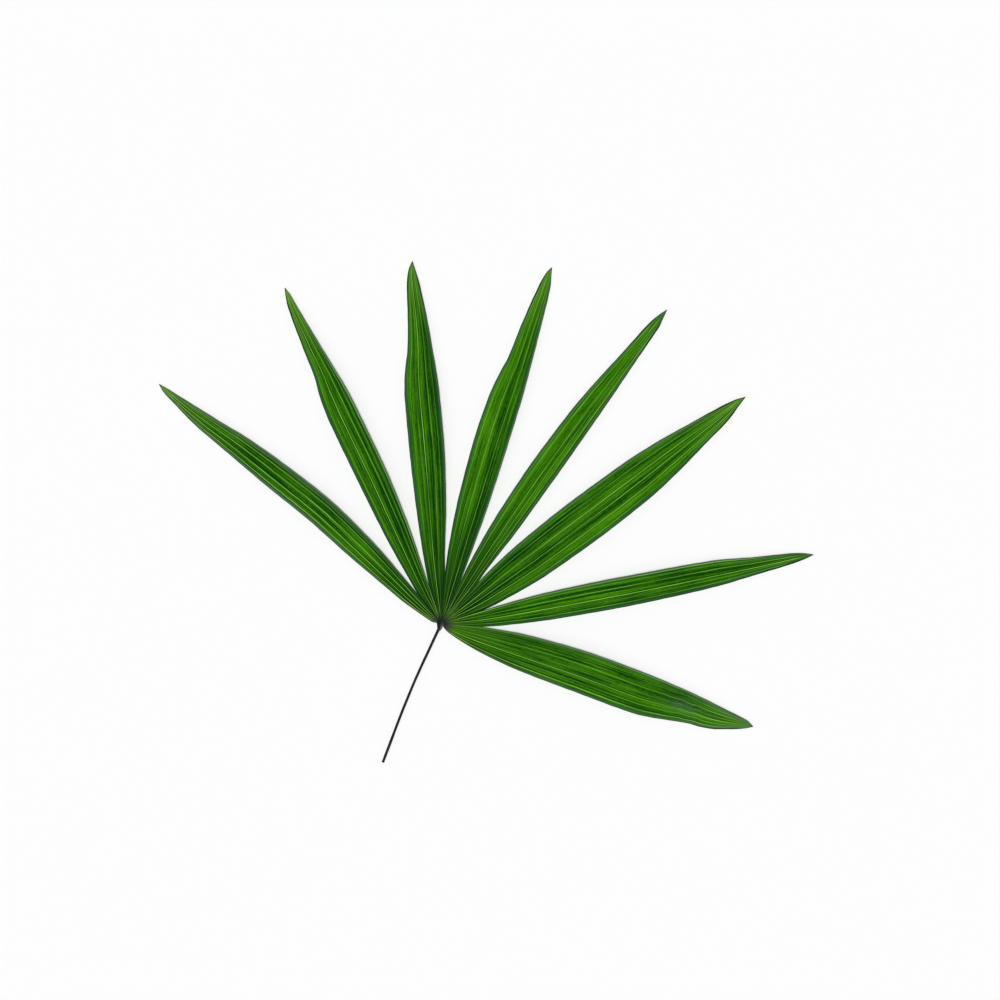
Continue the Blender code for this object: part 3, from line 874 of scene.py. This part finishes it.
class Nodes:
    """Adds nodes to one shader tree. A value is a number, a colour or the socket that feeds it."""

    def __init__(self, tree):
        self.tree = tree

    def add(self, kind, values=None, **settings):
        node = self.tree.nodes.new(kind)
        for key, setting in settings.items():
            setattr(node, key, setting)
        for key, value in (values or {}).items():
            if isinstance(value, bpy.types.NodeSocket):
                self.tree.links.new(value, node.inputs[key])
            else:
                node.inputs[key].default_value = value
        return node

    def math(self, operation, first, second=0.0, clamp=False):
        return self.add("ShaderNodeMath", {0: first, 1: second}, operation=operation,
                        use_clamp=clamp).outputs[0]

    def plus(self, first, second, clamp=False):
        return self.math("ADD", first, second, clamp)

    def minus(self, first, second, clamp=False):
        return self.math("SUBTRACT", first, second, clamp)

    def times(self, first, second, clamp=False):
        return self.math("MULTIPLY", first, second, clamp)

    def mix(self, share, first, second):
        """A mix of two colours, each a socket or (red, green, blue)."""
        first, second = (colour if isinstance(colour, bpy.types.NodeSocket) else (*colour, 1.0)
                         for colour in (first, second))
        return self.add("ShaderNodeMix", {0: share, 6: first, 7: second},
                        data_type="RGBA").outputs[2]

    def blend(self, share, first, second):
        """A mix of two numbers."""
        return self.add("ShaderNodeMix", {0: share, 2: first, 3: second}).outputs[0]

    def read(self, name, output="Fac"):
        """A value that is stored at the mesh's points."""
        return self.add("ShaderNodeAttribute", attribute_name=name).outputs[output]

    def between(self, value, start, end, low=0.0, high=1.0):
        """A smooth change from low to high as value goes from start to end."""
        return self.add("ShaderNodeMapRange",
                        {"Value": value, "From Min": start, "From Max": end, "To Min": low,
                         "To Max": high}, interpolation_type="SMOOTHSTEP").outputs["Result"]

    def effect(self, name, values):
        """The output of one of the shared effects, placed with these values."""
        return self.add("ShaderNodeGroup", values, node_tree=effect_group(name)).outputs[0]

    def line(self, distance, half_width, softness, strength, middle=0.0):
        """A mask of the line that runs at distance middle."""
        return self.effect("Line Mask", {"Distance": distance, "Middle": middle,
                                         "Half Width": half_width, "Softness": softness,
                                         "Strength": strength})

    def streaks(self, place, grain, contrast, detail=3.0):
        """Streaks that go from below 0 to above it."""
        return self.effect("Grain Streaks", {"Place": place, "Grain": grain,
                                             "Detail": detail, "Contrast": contrast})

    def veins(self, place, spacing):
        return self.effect("Fine Veins", {"Place": place, "Spacing": spacing})


def line_mask(nodes, given):
    """A mask of the line whose middle is at distance Middle, with soft sides."""
    offset = nodes.math("ABSOLUTE", nodes.minus(given["Distance"], given["Middle"]))
    outside = nodes.plus(given["Half Width"], given["Softness"])
    mask = nodes.between(offset, given["Half Width"], outside, 1.0, 0.0)
    return nodes.times(mask, given["Strength"])


def grain_streaks(nodes, given):
    """Long streaks: noise that is fine across the grain and slow along it."""
    place = nodes.add("ShaderNodeVectorMath", {0: given["Place"], 1: given["Grain"]},
                      operation="MULTIPLY")
    grain = nodes.add("ShaderNodeTexNoise",
                      {"Vector": place.outputs[0], "Scale": 1.0, "Detail": given["Detail"],
                       "Roughness": 0.6})
    return nodes.times(nodes.minus(grain.outputs[0], 0.5), given["Contrast"])


def fine_veins(nodes, given):
    """Fine parallel veins, Spacing apart, each with its own strength that changes slowly."""
    across, along, leaf = nodes.add("ShaderNodeSeparateXYZ", {0: given["Place"]}).outputs
    across = nodes.math("DIVIDE", across, given["Spacing"])
    number = nodes.math("FLOOR", across)
    middle = nodes.minus(nodes.minus(across, number), 0.5)
    line = nodes.between(nodes.math("ABSOLUTE", middle), *VEIN_SIDES, 1.0, 0.0)
    along = nodes.times(along, VEIN_CHANGE)
    leaf = nodes.plus(leaf, nodes.times(number, VEIN_STEP))
    seat = nodes.add("ShaderNodeCombineXYZ", {0: leaf, 1: along})
    chance = nodes.add("ShaderNodeTexNoise",
                       {"Vector": seat.outputs[0], "Scale": 1.0, "Detail": 1.0})
    return nodes.times(line, nodes.between(chance.outputs[0], *VEIN_CHANCE))


# The shared effects: what makes each one, the name of its output, and its inputs.
EFFECTS = {
    "Line Mask": (line_mask, "Mask", {"Distance": 0.0, "Middle": 0.0, "Half Width": 0.3,
                                      "Softness": 0.3, "Strength": 1.0}),
    "Grain Streaks": (grain_streaks, "Value", {"Place": (0.0, 0.0, 0.0), "Grain": (1.0, 0.05, 1.0),
                                               "Detail": 3.0, "Contrast": 1.0}),
    "Fine Veins": (fine_veins, "Mask", {"Place": (0.0, 0.0, 0.0), "Spacing": 0.9}),
}


def effect_group(name):
    """The node group of a shared effect, built the first time that it is asked for."""
    if name not in bpy.data.node_groups:
        build, output, inputs = EFFECTS[name]
        group = bpy.data.node_groups.new(name, "ShaderNodeTree")
        for label, default in inputs.items():
            kind = "NodeSocketVector" if isinstance(default, tuple) else "NodeSocketFloat"
            socket = group.interface.new_socket(label, in_out="INPUT", socket_type=kind)
            socket.default_value = default
        group.interface.new_socket(output, in_out="OUTPUT", socket_type="NodeSocketFloat")
        given = group.nodes.new("NodeGroupInput").outputs
        end = group.nodes.new("NodeGroupOutput")
        group.links.new(build(Nodes(group), given), end.inputs[output])
    return bpy.data.node_groups[name]


def new_material(name):
    material = bpy.data.materials.new(name)
    material.use_nodes = True
    tree = material.node_tree
    return material, Nodes(tree), tree.nodes["Principled BSDF"]


def set_surface(nodes, surface, colour, roughness, height, depth, specular):
    """Feeds the surface with its colour, its roughness and a bump that is depth metres high."""
    bump = nodes.add("ShaderNodeBump", {"Height": height, "Distance": depth,
                                        "Strength": RELIEF_STRENGTH})
    nodes.tree.links.new(colour, surface.inputs["Base Color"])
    nodes.tree.links.new(roughness, surface.inputs["Roughness"])
    nodes.tree.links.new(bump.outputs[0], surface.inputs["Normal"])
    surface.inputs["Specular IOR Level"].default_value = specular


def tissue_colour(nodes, place, light, dark, margin_reflection):
    """The tissue between the ribs: lengthwise bands of painted pleat light and shade, fine streaks,
    mottles, and cooler margins that paint a reflection.
    """
    # The tone begins as the pleats' painted light and shade.
    tone = nodes.read("tone")
    for grain, contrast in TISSUE_GRAINS:
        tone = nodes.plus(tone, nodes.streaks(place, grain, contrast))
    tone = nodes.plus(tone, nodes.times(nodes.veins(place, VEIN_SPACING), VEIN_STRENGTH))
    body = nodes.mix(nodes.between(tone, *TONE_RANGE), dark, light)
    blue = nodes.minus(nodes.streaks(place, *BLUE_GRAIN), BLUE_LEAST, clamp=True)
    blue = nodes.times(blue, nodes.between(nodes.read("hub_reach"), *BLUE_REACH, 1.0, BLUE_FAR))
    body = nodes.mix(blue, body, BLUE_GREEN)
    # The cooler margins: a painted reflection.
    edge = nodes.between(nodes.read("edge_near"), *REFLECTION_MARGIN, REFLECTION_SHARE, 0.0)
    edge = nodes.plus(edge, nodes.times(edge, nodes.streaks(place, *MARGIN_GRAIN)), clamp=True)
    edge = nodes.times(edge, nodes.read("edge_strength"))
    return nodes.mix(edge, body, margin_reflection)


def add_shades(nodes, place, colour):
    """The glow of the tip and the hub, the bloom, the dark base and the darker lower half."""
    colour = nodes.mix(nodes.read("glow"), colour, YELLOW_GREEN)
    bloom = nodes.plus(nodes.streaks(place, *BLOOM_GRAIN), 1.0)
    bloom = nodes.times(bloom, nodes.between(nodes.read("edge_near"), *BLOOM_MARGIN, 1.0, 0.0))
    bloom = nodes.times(bloom, nodes.read("bloom"), clamp=True)
    colour = nodes.mix(bloom, colour, BLOOM_GREY)
    colour = nodes.mix(nodes.read("base_shade"), colour, BASE_GREEN)
    return nodes.mix(nodes.read("far_shade"), colour, FAR_GREEN)


def add_ribs(nodes, place, colour, near_hub, near_tip, rib, rib_share):
    """The raised ribs, with a dark furrow of painted shade beside each, both bolder at the hub and
    the tip.
    """
    near, strength = nodes.read("rib_near"), nodes.read("rib_strength")
    # The furrow beside each rib is painted shade.
    furrow = nodes.plus(nodes.streaks(place, *FURROW_GRAIN), FURROW_PATCHES, clamp=True)
    furrow = nodes.times(furrow, strength)
    near_end = nodes.math("MAXIMUM", near_hub, near_tip)
    furrow = nodes.plus(furrow, nodes.times(near_end, furrow), clamp=True)
    middle = nodes.plus(FURROW_MIDDLE, nodes.times(near_hub, FURROW_HUB_SHIFT))
    colour = nodes.mix(nodes.line(near, *FURROW_LINE, furrow, middle), colour, FURROW_SHADE)
    patches = nodes.plus(nodes.streaks(place, *RIB_GRAIN), RIB_PATCHES, clamp=True)
    shown = nodes.blend(near_hub, strength, nodes.between(strength, *STRONG_RIB))
    shown = nodes.plus(shown, nodes.times(shown, near_tip), clamp=True)
    shown = nodes.times(nodes.times(shown, rib_share), patches)
    breadth = nodes.plus(RIB_BREADTH, nodes.times(near_hub, RIB_HUB_BREADTH))
    breadth = nodes.plus(breadth, nodes.times(near_tip, RIB_TIP_BREADTH))
    mask = nodes.line(near, breadth, RIB_SOFTNESS, shown)
    return nodes.mix(mask, colour, nodes.mix(near_hub, rib, HUB_RIB_GREEN))


def add_hub_marks(nodes, place, colour):
    """The dark ring round the knot, partly dark tissue and partly painted shade where the blade
    meets the knot, and the dry brownish husk on it.
    """
    ring = nodes.between(nodes.read("hub_reach"), *DARK_RING, RING_SHARE, 0.0)
    colour = nodes.mix(ring, colour, RING_DARK_AND_SHADE)
    husk = nodes.plus(nodes.streaks(place, *HUSK_GRAIN), HUSK_PATCHES, clamp=True)
    husk = nodes.times(husk, nodes.read("husk"), clamp=True)
    return nodes.mix(husk, colour, HUSK_BROWN)


def add_edges(nodes, colour, near_tip):
    """The thin dark edge, painted shade where the margin turns down, and the pale line inside it,
    a painted highlight, where the leaflet has one.
    """
    near, strength = nodes.read("edge_near"), nodes.read("edge_strength")
    edge_highlight_share = nodes.times(strength, nodes.read("edge_highlight"))
    # The pale line is a painted highlight, and the dark edge painted shade.
    pale = nodes.line(near, *PALE_LINE, nodes.times(edge_highlight_share, PALE_SHARE), PALE_MIDDLE)
    colour = nodes.mix(pale, colour, EDGE_HIGHLIGHT_GREEN)
    dark = nodes.times(nodes.minus(1.0, nodes.times(edge_highlight_share, DARK_LOSS)), strength)
    wider = nodes.times(near_tip, nodes.between(nodes.read("tip_near"), *DARK_TIP_BREADTH))
    dark = nodes.line(near, nodes.plus(DARK_BREADTH, wider), DARK_SOFTNESS, dark)
    return nodes.mix(dark, colour, EDGE_SHADE_GREEN)


def add_damage(nodes, place, colour):
    """The dry point of the tip and the damaged spot."""
    point = nodes.between(nodes.read("tip_near"), *DRY_POINT, POINT_SHARE, 0.0)
    colour = nodes.mix(point, colour, POINT_BROWN)
    patches = nodes.plus(nodes.streaks(place, *SCAR_GRAIN), SCAR_PATCHES, clamp=True)
    spot = nodes.math("POWER", nodes.read("scar"), 2.0)
    return nodes.mix(nodes.times(patches, spot), colour, SCAR_GREY)


def leaf_material(name, light, dark, margin_reflection, rib, rib_share):
    """One face of the blade, with everything that marks it."""
    material, nodes, surface = new_material(name)
    place = nodes.read("leaf_place", "Vector")
    near_hub = nodes.between(nodes.read("hub_reach"), *NEAR_HUB, 1.0, 0.0)
    near_tip = nodes.between(nodes.read("tip_near"), *NEAR_TIP, 1.0, 0.0)
    colour = tissue_colour(nodes, place, light, dark, margin_reflection)
    colour = add_shades(nodes, place, colour)
    colour = add_ribs(nodes, place, colour, near_hub, near_tip, rib, rib_share)
    colour = add_hub_marks(nodes, place, colour)
    colour = add_edges(nodes, colour, near_tip)
    colour = add_damage(nodes, place, colour)
    height = nodes.plus(*(nodes.streaks(place, *grain) for grain in LEAF_RELIEF_GRAINS))
    gloss = nodes.plus(LEAF_ROUGHNESS, nodes.streaks(place, *LEAF_GLOSS_GRAIN))
    set_surface(nodes, surface, colour, gloss, height, LEAF_RELIEF, LEAF_SHEEN)
    return material


def bark_material(name, dark, light, grain, roughness):
    """Fibrous skin: dark, with long lighter streaks and small specks."""
    material, nodes, surface = new_material(name)
    place = nodes.read("stalk_place", "Vector")
    tone = nodes.plus(nodes.streaks(place, grain, *BARK_STREAKS), BARK_LIGHTNESS, clamp=True)
    colour = nodes.mix(tone, dark, light)
    specks = nodes.minus(nodes.streaks(place, *SPECK_GRAIN), SPECK_LEAST, clamp=True)
    colour = nodes.mix(specks, colour, SPECK_BROWN)
    fine_grain = tuple(BARK_RELIEF_FINENESS * often for often in grain)
    height = nodes.streaks(place, fine_grain, 1.0)
    gloss = nodes.plus(roughness, nodes.streaks(place, grain, BARK_GLOSS))
    set_surface(nodes, surface, colour, gloss, height, BARK_RELIEF, BARK_SHEEN)
    return material


def cut_material():
    """The cut end: pale fibres in darker pith."""
    material, nodes, surface = new_material("stalk_cut")
    place = nodes.read("stalk_place", "Vector")
    cells = nodes.add("ShaderNodeTexVoronoi", {"Vector": place, "Scale": CUT_CELLS})
    dots = nodes.between(cells.outputs["Distance"], *CUT_DOTS, 1.0, 0.0)
    colour = nodes.mix(dots, CUT_PITH, CUT_FIBRE)
    gloss = nodes.plus(CUT_ROUGHNESS, nodes.streaks(place, *CUT_GLOSS_GRAIN))
    set_surface(nodes, surface, colour, gloss, dots, CUT_RELIEF, CUT_SHEEN)
    return material


def knot_material(dark):
    """The knot's skin: dark round its core, dry and brownish beyond it, with radiating streaks."""
    material, nodes, surface = new_material("knot_skin")
    place = nodes.read("rays", "Vector")
    tone = nodes.plus(nodes.streaks(place, *KNOT_GRAIN), KNOT_LIGHTNESS, clamp=True)
    core = nodes.plus(nodes.read("core_near"), nodes.streaks(place, *KNOT_CORE_GRAIN))
    core = nodes.between(core, *KNOT_DARK_REACH, KNOT_DARK_SHARE, 0.0)
    colour = nodes.mix(core, nodes.mix(tone, *KNOT_DRY), dark)
    height = nodes.plus(tone, nodes.streaks(place, *KNOT_RELIEF_GRAIN))
    gloss = nodes.plus(KNOT_ROUGHNESS, nodes.streaks(place, *KNOT_GLOSS_GRAIN))
    set_surface(nodes, surface, colour, gloss, height, BARK_RELIEF, BARK_SHEEN)
    return material


def store_places(mesh):
    """Keeps each point's place in millimetres as the vector that the bark reads."""
    places = np.empty(3 * len(mesh.vertices), dtype=np.float32)
    mesh.vertices.foreach_get("co", places)
    layer = mesh.attributes.new("stalk_place", "FLOAT_VECTOR", "POINT")
    layer.data.foreach_set("vector", places / MM)


def curve_mesh(name, lines, sides, steps):
    """A mesh of tapered tubes. Each line is a list of (place, radius) in millimetres."""
    curve = bpy.data.curves.new(name, "CURVE")
    curve.dimensions = "3D"
    curve.bevel_depth = MM
    curve.bevel_resolution = sides
    curve.use_fill_caps = True
    curve.resolution_u = steps
    for line in lines:
        spline = curve.splines.new("BEZIER")
        spline.bezier_points.add(len(line) - 1)
        for point, (place, radius) in zip(spline.bezier_points, line):
            point.co = Vector(place) * MM
            point.radius = radius
            point.handle_left_type = point.handle_right_type = "AUTO"
    guide = bpy.data.objects.new(name, curve)
    bpy.context.scene.collection.objects.link(guide)
    bpy.context.view_layer.update()
    graph = bpy.context.evaluated_depsgraph_get()
    mesh = bpy.data.meshes.new_from_object(guide.evaluated_get(graph))
    bpy.data.objects.remove(guide, do_unlink=True)
    weld(mesh)
    mesh.name = name
    return mesh


def make_stalk(settings):
    """The stalk: a thin tapered tube with shallow grooves and a roughly cut end."""
    mesh = curve_mesh("stalk", [STALK], STALK_SIDES, STALK_STEPS)
    store_places(mesh)
    normals = [vertex.normal.copy() for vertex in mesh.vertices]
    cut_end = STALK[-1][0][1] * MM
    across, along = STALK_GROOVE_GRAIN
    lump_across, lump_along = STALK_LUMP_GRAIN
    for vertex, normal in zip(mesh.vertices, normals):
        x, y, z = vertex.co / MM
        groove = noise.noise(Vector((across * x, along * y, across * z)))
        lump = noise.noise(Vector((lump_across * x, lump_along * y, STALK_LUMP_LAYER)))
        sideways = Vector((normal.x, 0, normal.z))
        if sideways.length > GROOVED_LEAN:
            vertex.co += sideways.normalized() * (groove + lump) * STALK_GROOVE * MM
    for polygon in mesh.polygons:
        if abs(polygon.normal.y) > CUT_LEAN and polygon.center.y < cut_end / 2:
            polygon.material_index = 1
    mesh.shade_smooth()
    mesh.set_sharp_from_angle(angle=SHARP_STALK)
    bark = bark_material("stalk_bark", settings.bark, settings.bark_light, STALK_GRAIN,
                         STALK_ROUGHNESS)
    return add_piece("stalk", mesh, [bark, cut_material()], "petiole")


def core_distance(place):
    """The distance of a place from the middle of the knot's long core: 1 at its edge."""
    x, y = place[0] - KNOT_CORE[0], place[1] - KNOT_CORE[1]
    cosine, sine = math.cos(KNOT_CORE_TURN), math.sin(KNOT_CORE_TURN)
    along, across = x * cosine + y * sine, y * cosine - x * sine
    return math.hypot(along / KNOT_CORE_HALF_SIZE[0], across / KNOT_CORE_HALF_SIZE[1])


def make_knot(settings):
    """The knot: a squat fluted lump, flat below, that rises to a small dark core."""
    lump = bmesh.new()
    bmesh.ops.create_uvsphere(lump, u_segments=KNOT_COLUMNS, v_segments=KNOT_ROWS, radius=1.0)
    rays = lump.verts.layers.float_vector.new("rays")
    core_near = lump.verts.layers.float.new("core_near")
    for vertex in lump.verts:
        x, y, z = vertex.co
        upper = max(z, 0.0) * math.hypot(x, y) * 2
        seat = [c + h * v for c, h, v in zip(KNOT_CENTRE, KNOT_HALF_SIZE, (x, y))]
        angle = math.atan2(seat[1] - KNOT_FAN[1], seat[0] - KNOT_FAN[0])
        fan_reach = math.dist(seat, KNOT_FAN)
        flute = FLUTE_DEPTH * math.cos(FLUTES * angle) * upper
        rough = sum(height * noise.noise(often * vertex.co) for often, height in KNOT_LUMPS)
        flat = math.copysign(1 - (1 - abs(z)) ** KNOT_FLATNESS, z)
        place = [c + h * v * (KNOT_FILL + flute + rough)
                 for c, h, v in zip(KNOT_CENTRE, KNOT_HALF_SIZE, (x, y, flat))]
        off_core = core_distance(place)
        place[2] += KNOT_CORE_RISE * math.exp(-off_core ** 3) * max(z, 0.0) ** 0.5
        place[2] = max(place[2], KNOT_FLOOR)
        vertex[rays] = Vector((angle * KNOT_FAN_SPREAD, fan_reach, place[2]))
        vertex[core_near] = off_core
        vertex.co = Vector(place) * MM
    mesh = bpy.data.meshes.new("knot")
    lump.to_mesh(mesh)
    lump.free()
    mesh.shade_smooth()
    return add_piece("knot", mesh, [knot_material(settings.knot)], "petiole")


def blade_height(distance):
    """The height of the blade's upper face near the hub, in millimetres."""
    return BLADE_START + BLADE_SLOPE * distance


def ray_line(draw, turn, length, radius):
    """A tapered fibre that leaves the knot and lies along the blade, as (place, radius) points."""
    start, sway, lift = (draw.uniform(*limits) for limits in (RAY_START, RAY_SWAY, RAY_LIFT))
    points = []
    for share in RAY_SHARES:
        distance = start + length * share
        angle = math.radians(turn) + sway * share * share
        height = blade_height(distance) + lift * math.sin(math.pi * share)
        place = (distance * math.cos(angle), distance * math.sin(angle), height)
        points.append((place, radius * (1 - RAY_TAPER * share)))
    return points


def make_fibres(settings):
    """Dark tongues of the knot that run out between the ribs, and fine dry fibres beside them."""
    draw = random.Random(RAY_SEED)
    lines = []
    for turn in np.linspace(FAN_START, FAN_END, TONGUES):
        turn = turn + draw.uniform(*TONGUE_STRAY)
        lines.append(ray_line(draw, turn, draw.uniform(*TONGUE_LENGTH),
                              draw.uniform(*TONGUE_RADIUS)))
    for _ in range(settings.fibres):
        turn = draw.triangular(FAN_START, FAN_END, FIBRE_MIDDLE)
        lines.append(ray_line(draw, turn, draw.uniform(*FIBRE_LENGTH),
                              draw.uniform(*FIBRE_RADIUS)))
    mesh = curve_mesh("knot_fibres", lines, RAY_SIDES, RAY_STEPS)
    store_places(mesh)
    mesh.shade_smooth()
    skin = bark_material("fibre_skin", *FIBRE_SKIN, FIBRE_GRAIN, FIBRE_ROUGHNESS)
    return add_piece("knot_fibres", mesh, [skin], "petiole")


def make_collar():
    """The thin dry strip where the blade's last edge meets the stalk."""
    mesh = curve_mesh("knot_collar", COLLAR, COLLAR_SIDES, COLLAR_STEPS)
    across, along = COLLAR_GRAIN
    for vertex in mesh.vertices:
        x, y, z = vertex.co / MM
        crease = noise.noise(Vector((across * x, along * y, across * z)))
        vertex.co += vertex.normal * crease * COLLAR_CREASE * MM
    store_places(mesh)
    mesh.shade_smooth()
    skin = bark_material("collar_skin", *COLLAR_SKIN, COLLAR_SKIN_GRAIN, COLLAR_ROUGHNESS)
    return add_piece("knot_collar", mesh, [skin], "petiole")


def make_floor(settings):
    mesh = bpy.data.meshes.new("floor")
    sheet = bmesh.new()
    bmesh.ops.create_grid(sheet, x_segments=1, y_segments=1, size=settings.floor_size / 2)
    sheet.to_mesh(mesh)
    sheet.free()
    floor = bpy.data.objects.new("floor", mesh)
    bpy.context.scene.collection.objects.link(floor)
    material, _, surface = new_material("pale_floor")
    surface.inputs["Base Color"].default_value = (*settings.floor, 1.0)
    surface.inputs["Roughness"].default_value = 0.9
    surface.inputs["Specular IOR Level"].default_value = 0.1
    surface.inputs["Emission Color"].default_value = (1.0, 1.0, 1.0, 1.0)
    surface.inputs["Emission Strength"].default_value = settings.floor_glow
    mesh.materials.append(material)


def make_light(name, power, breadth, place, colour):
    """A broad, soft, even light that shines from place towards the leaf."""
    light = bpy.data.lights.new(name, "SUN")
    light.energy = power
    light.angle = math.radians(breadth)
    light.color = colour
    lamp = bpy.data.objects.new(name, light)
    lamp.location = place
    lamp.rotation_euler = Vector(place).to_track_quat("Z", "Y").to_euler()
    bpy.context.scene.collection.objects.link(lamp)


def make_world(colour, strength):
    """Even light from all round; where the camera looks past the floor it sees a pale backdrop."""
    world = bpy.data.worlds.new("studio")
    world.use_nodes = True
    sky = world.node_tree.nodes["Background"]
    sky.inputs["Color"].default_value = (*colour, 1.0)
    nodes = Nodes(world.node_tree)
    seen = nodes.add("ShaderNodeLightPath").outputs["Is Camera Ray"]
    shown = nodes.between(seen, 0.0, 1.0, strength, BACKDROP)
    world.node_tree.links.new(shown, sky.inputs["Strength"])
    bpy.context.scene.world = world


def make_camera():
    """Looks straight down on the leaf, turned as the photo is."""
    lens = bpy.data.cameras.new("camera")
    lens.lens = VIEW_LENS
    lens.sensor_width = VIEW_SENSOR
    camera = bpy.data.objects.new("camera", lens)
    distance = VIEW_WIDTH * VIEW_LENS / VIEW_SENSOR
    camera.location = (*VIEW_MIDDLE, LEAF_LEVEL + distance)
    camera.rotation_euler = (0.0, 0.0, VIEW_TURN)
    bpy.context.scene.collection.objects.link(camera)
    bpy.context.scene.camera = camera


class MESH_OT_palm_leaflets(bpy.types.Operator):
    """Add the eight pleated leaflets of the blade"""

    bl_idname = "mesh.palm_leaflets"
    bl_label = "Leaflets"

    def execute(self, context):
        settings = context.scene.palm_blade
        margin_reflection, rib, under = settings.reflection_green, settings.rib_green, settings.under_green
        upper = leaf_material("leaf_upper", settings.lit_band_green, settings.shaded_band_green, margin_reflection, rib, 1.0)
        # The underside's dark bands are the pleats' painted shade.
        lower = leaf_material("leaf_under", under, UNDER_BAND_SHADE * under, margin_reflection, rib, UNDER_RIBS)
        for number in range(len(LEAFLETS)):
            make_leaflet(number, settings, [upper, lower])
        return {"FINISHED"}


class MESH_OT_palm_stalk(bpy.types.Operator):
    """Add the stalk with its cut end"""

    bl_idname = "mesh.palm_stalk"
    bl_label = "Stalk"

    def execute(self, context):
        make_stalk(context.scene.palm_stalk)
        return {"FINISHED"}


class MESH_OT_palm_knot(bpy.types.Operator):
    """Add the knot at the head of the stalk, with its fibres"""

    bl_idname = "mesh.palm_knot"
    bl_label = "Knot"

    def execute(self, context):
        make_knot(context.scene.palm_stalk)
        make_fibres(context.scene.palm_stalk)
        make_collar()
        return {"FINISHED"}


class SCENE_OT_palm_stage(bpy.types.Operator):
    """Add the floor, the lights and the camera"""

    bl_idname = "scene.palm_stage"
    bl_label = "Stage"

    def execute(self, context):
        settings = context.scene.palm_stage
        make_floor(settings)
        make_light("main_light", settings.key_power, *MAIN_LIGHT)
        make_light("side_light", settings.fill_power, *SIDE_LIGHT)
        make_world(SKY_COLOUR, settings.sky)
        make_camera()
        context.scene.view_settings.view_transform = "Standard"
        return {"FINISHED"}


class VIEW3D_PT_palm_leaf(bpy.types.Panel):
    bl_idname = "VIEW3D_PT_palm_leaf"
    bl_label = "Fan Palm Leaf"
    bl_space_type = "VIEW_3D"
    bl_region_type = "UI"
    bl_category = "Palm Leaf"

    def draw(self, context):
        for group in (context.scene.palm_blade, context.scene.palm_stalk, context.scene.palm_stage):
            box = self.layout.box()
            for key in group.bl_rna.properties.keys():
                if key not in ("rna_type", "name"):
                    box.prop(group, key)
        for operator in OPERATORS:
            self.layout.operator(operator.bl_idname)


SETTINGS = {"palm_blade": BladeSettings, "palm_stalk": StalkSettings, "palm_stage": StageSettings}
OPERATORS = (MESH_OT_palm_leaflets, MESH_OT_palm_stalk, MESH_OT_palm_knot, SCENE_OT_palm_stage)


def register():
    for name, group in SETTINGS.items():
        bpy.utils.register_class(group)
        setattr(bpy.types.Scene, name, bpy.props.PointerProperty(type=group))
    for operator in OPERATORS:
        bpy.utils.register_class(operator)
    bpy.utils.register_class(VIEW3D_PT_palm_leaf)


def unregister():
    bpy.utils.unregister_class(VIEW3D_PT_palm_leaf)
    for operator in reversed(OPERATORS):
        bpy.utils.unregister_class(operator)
    for name, group in SETTINGS.items():
        delattr(bpy.types.Scene, name)
        bpy.utils.unregister_class(group)


def main():
    register()
    bpy.ops.scene.palm_stage()
    bpy.ops.mesh.palm_leaflets()
    bpy.ops.mesh.palm_stalk()
    bpy.ops.mesh.palm_knot()


if __name__ == "__main__":
    main()
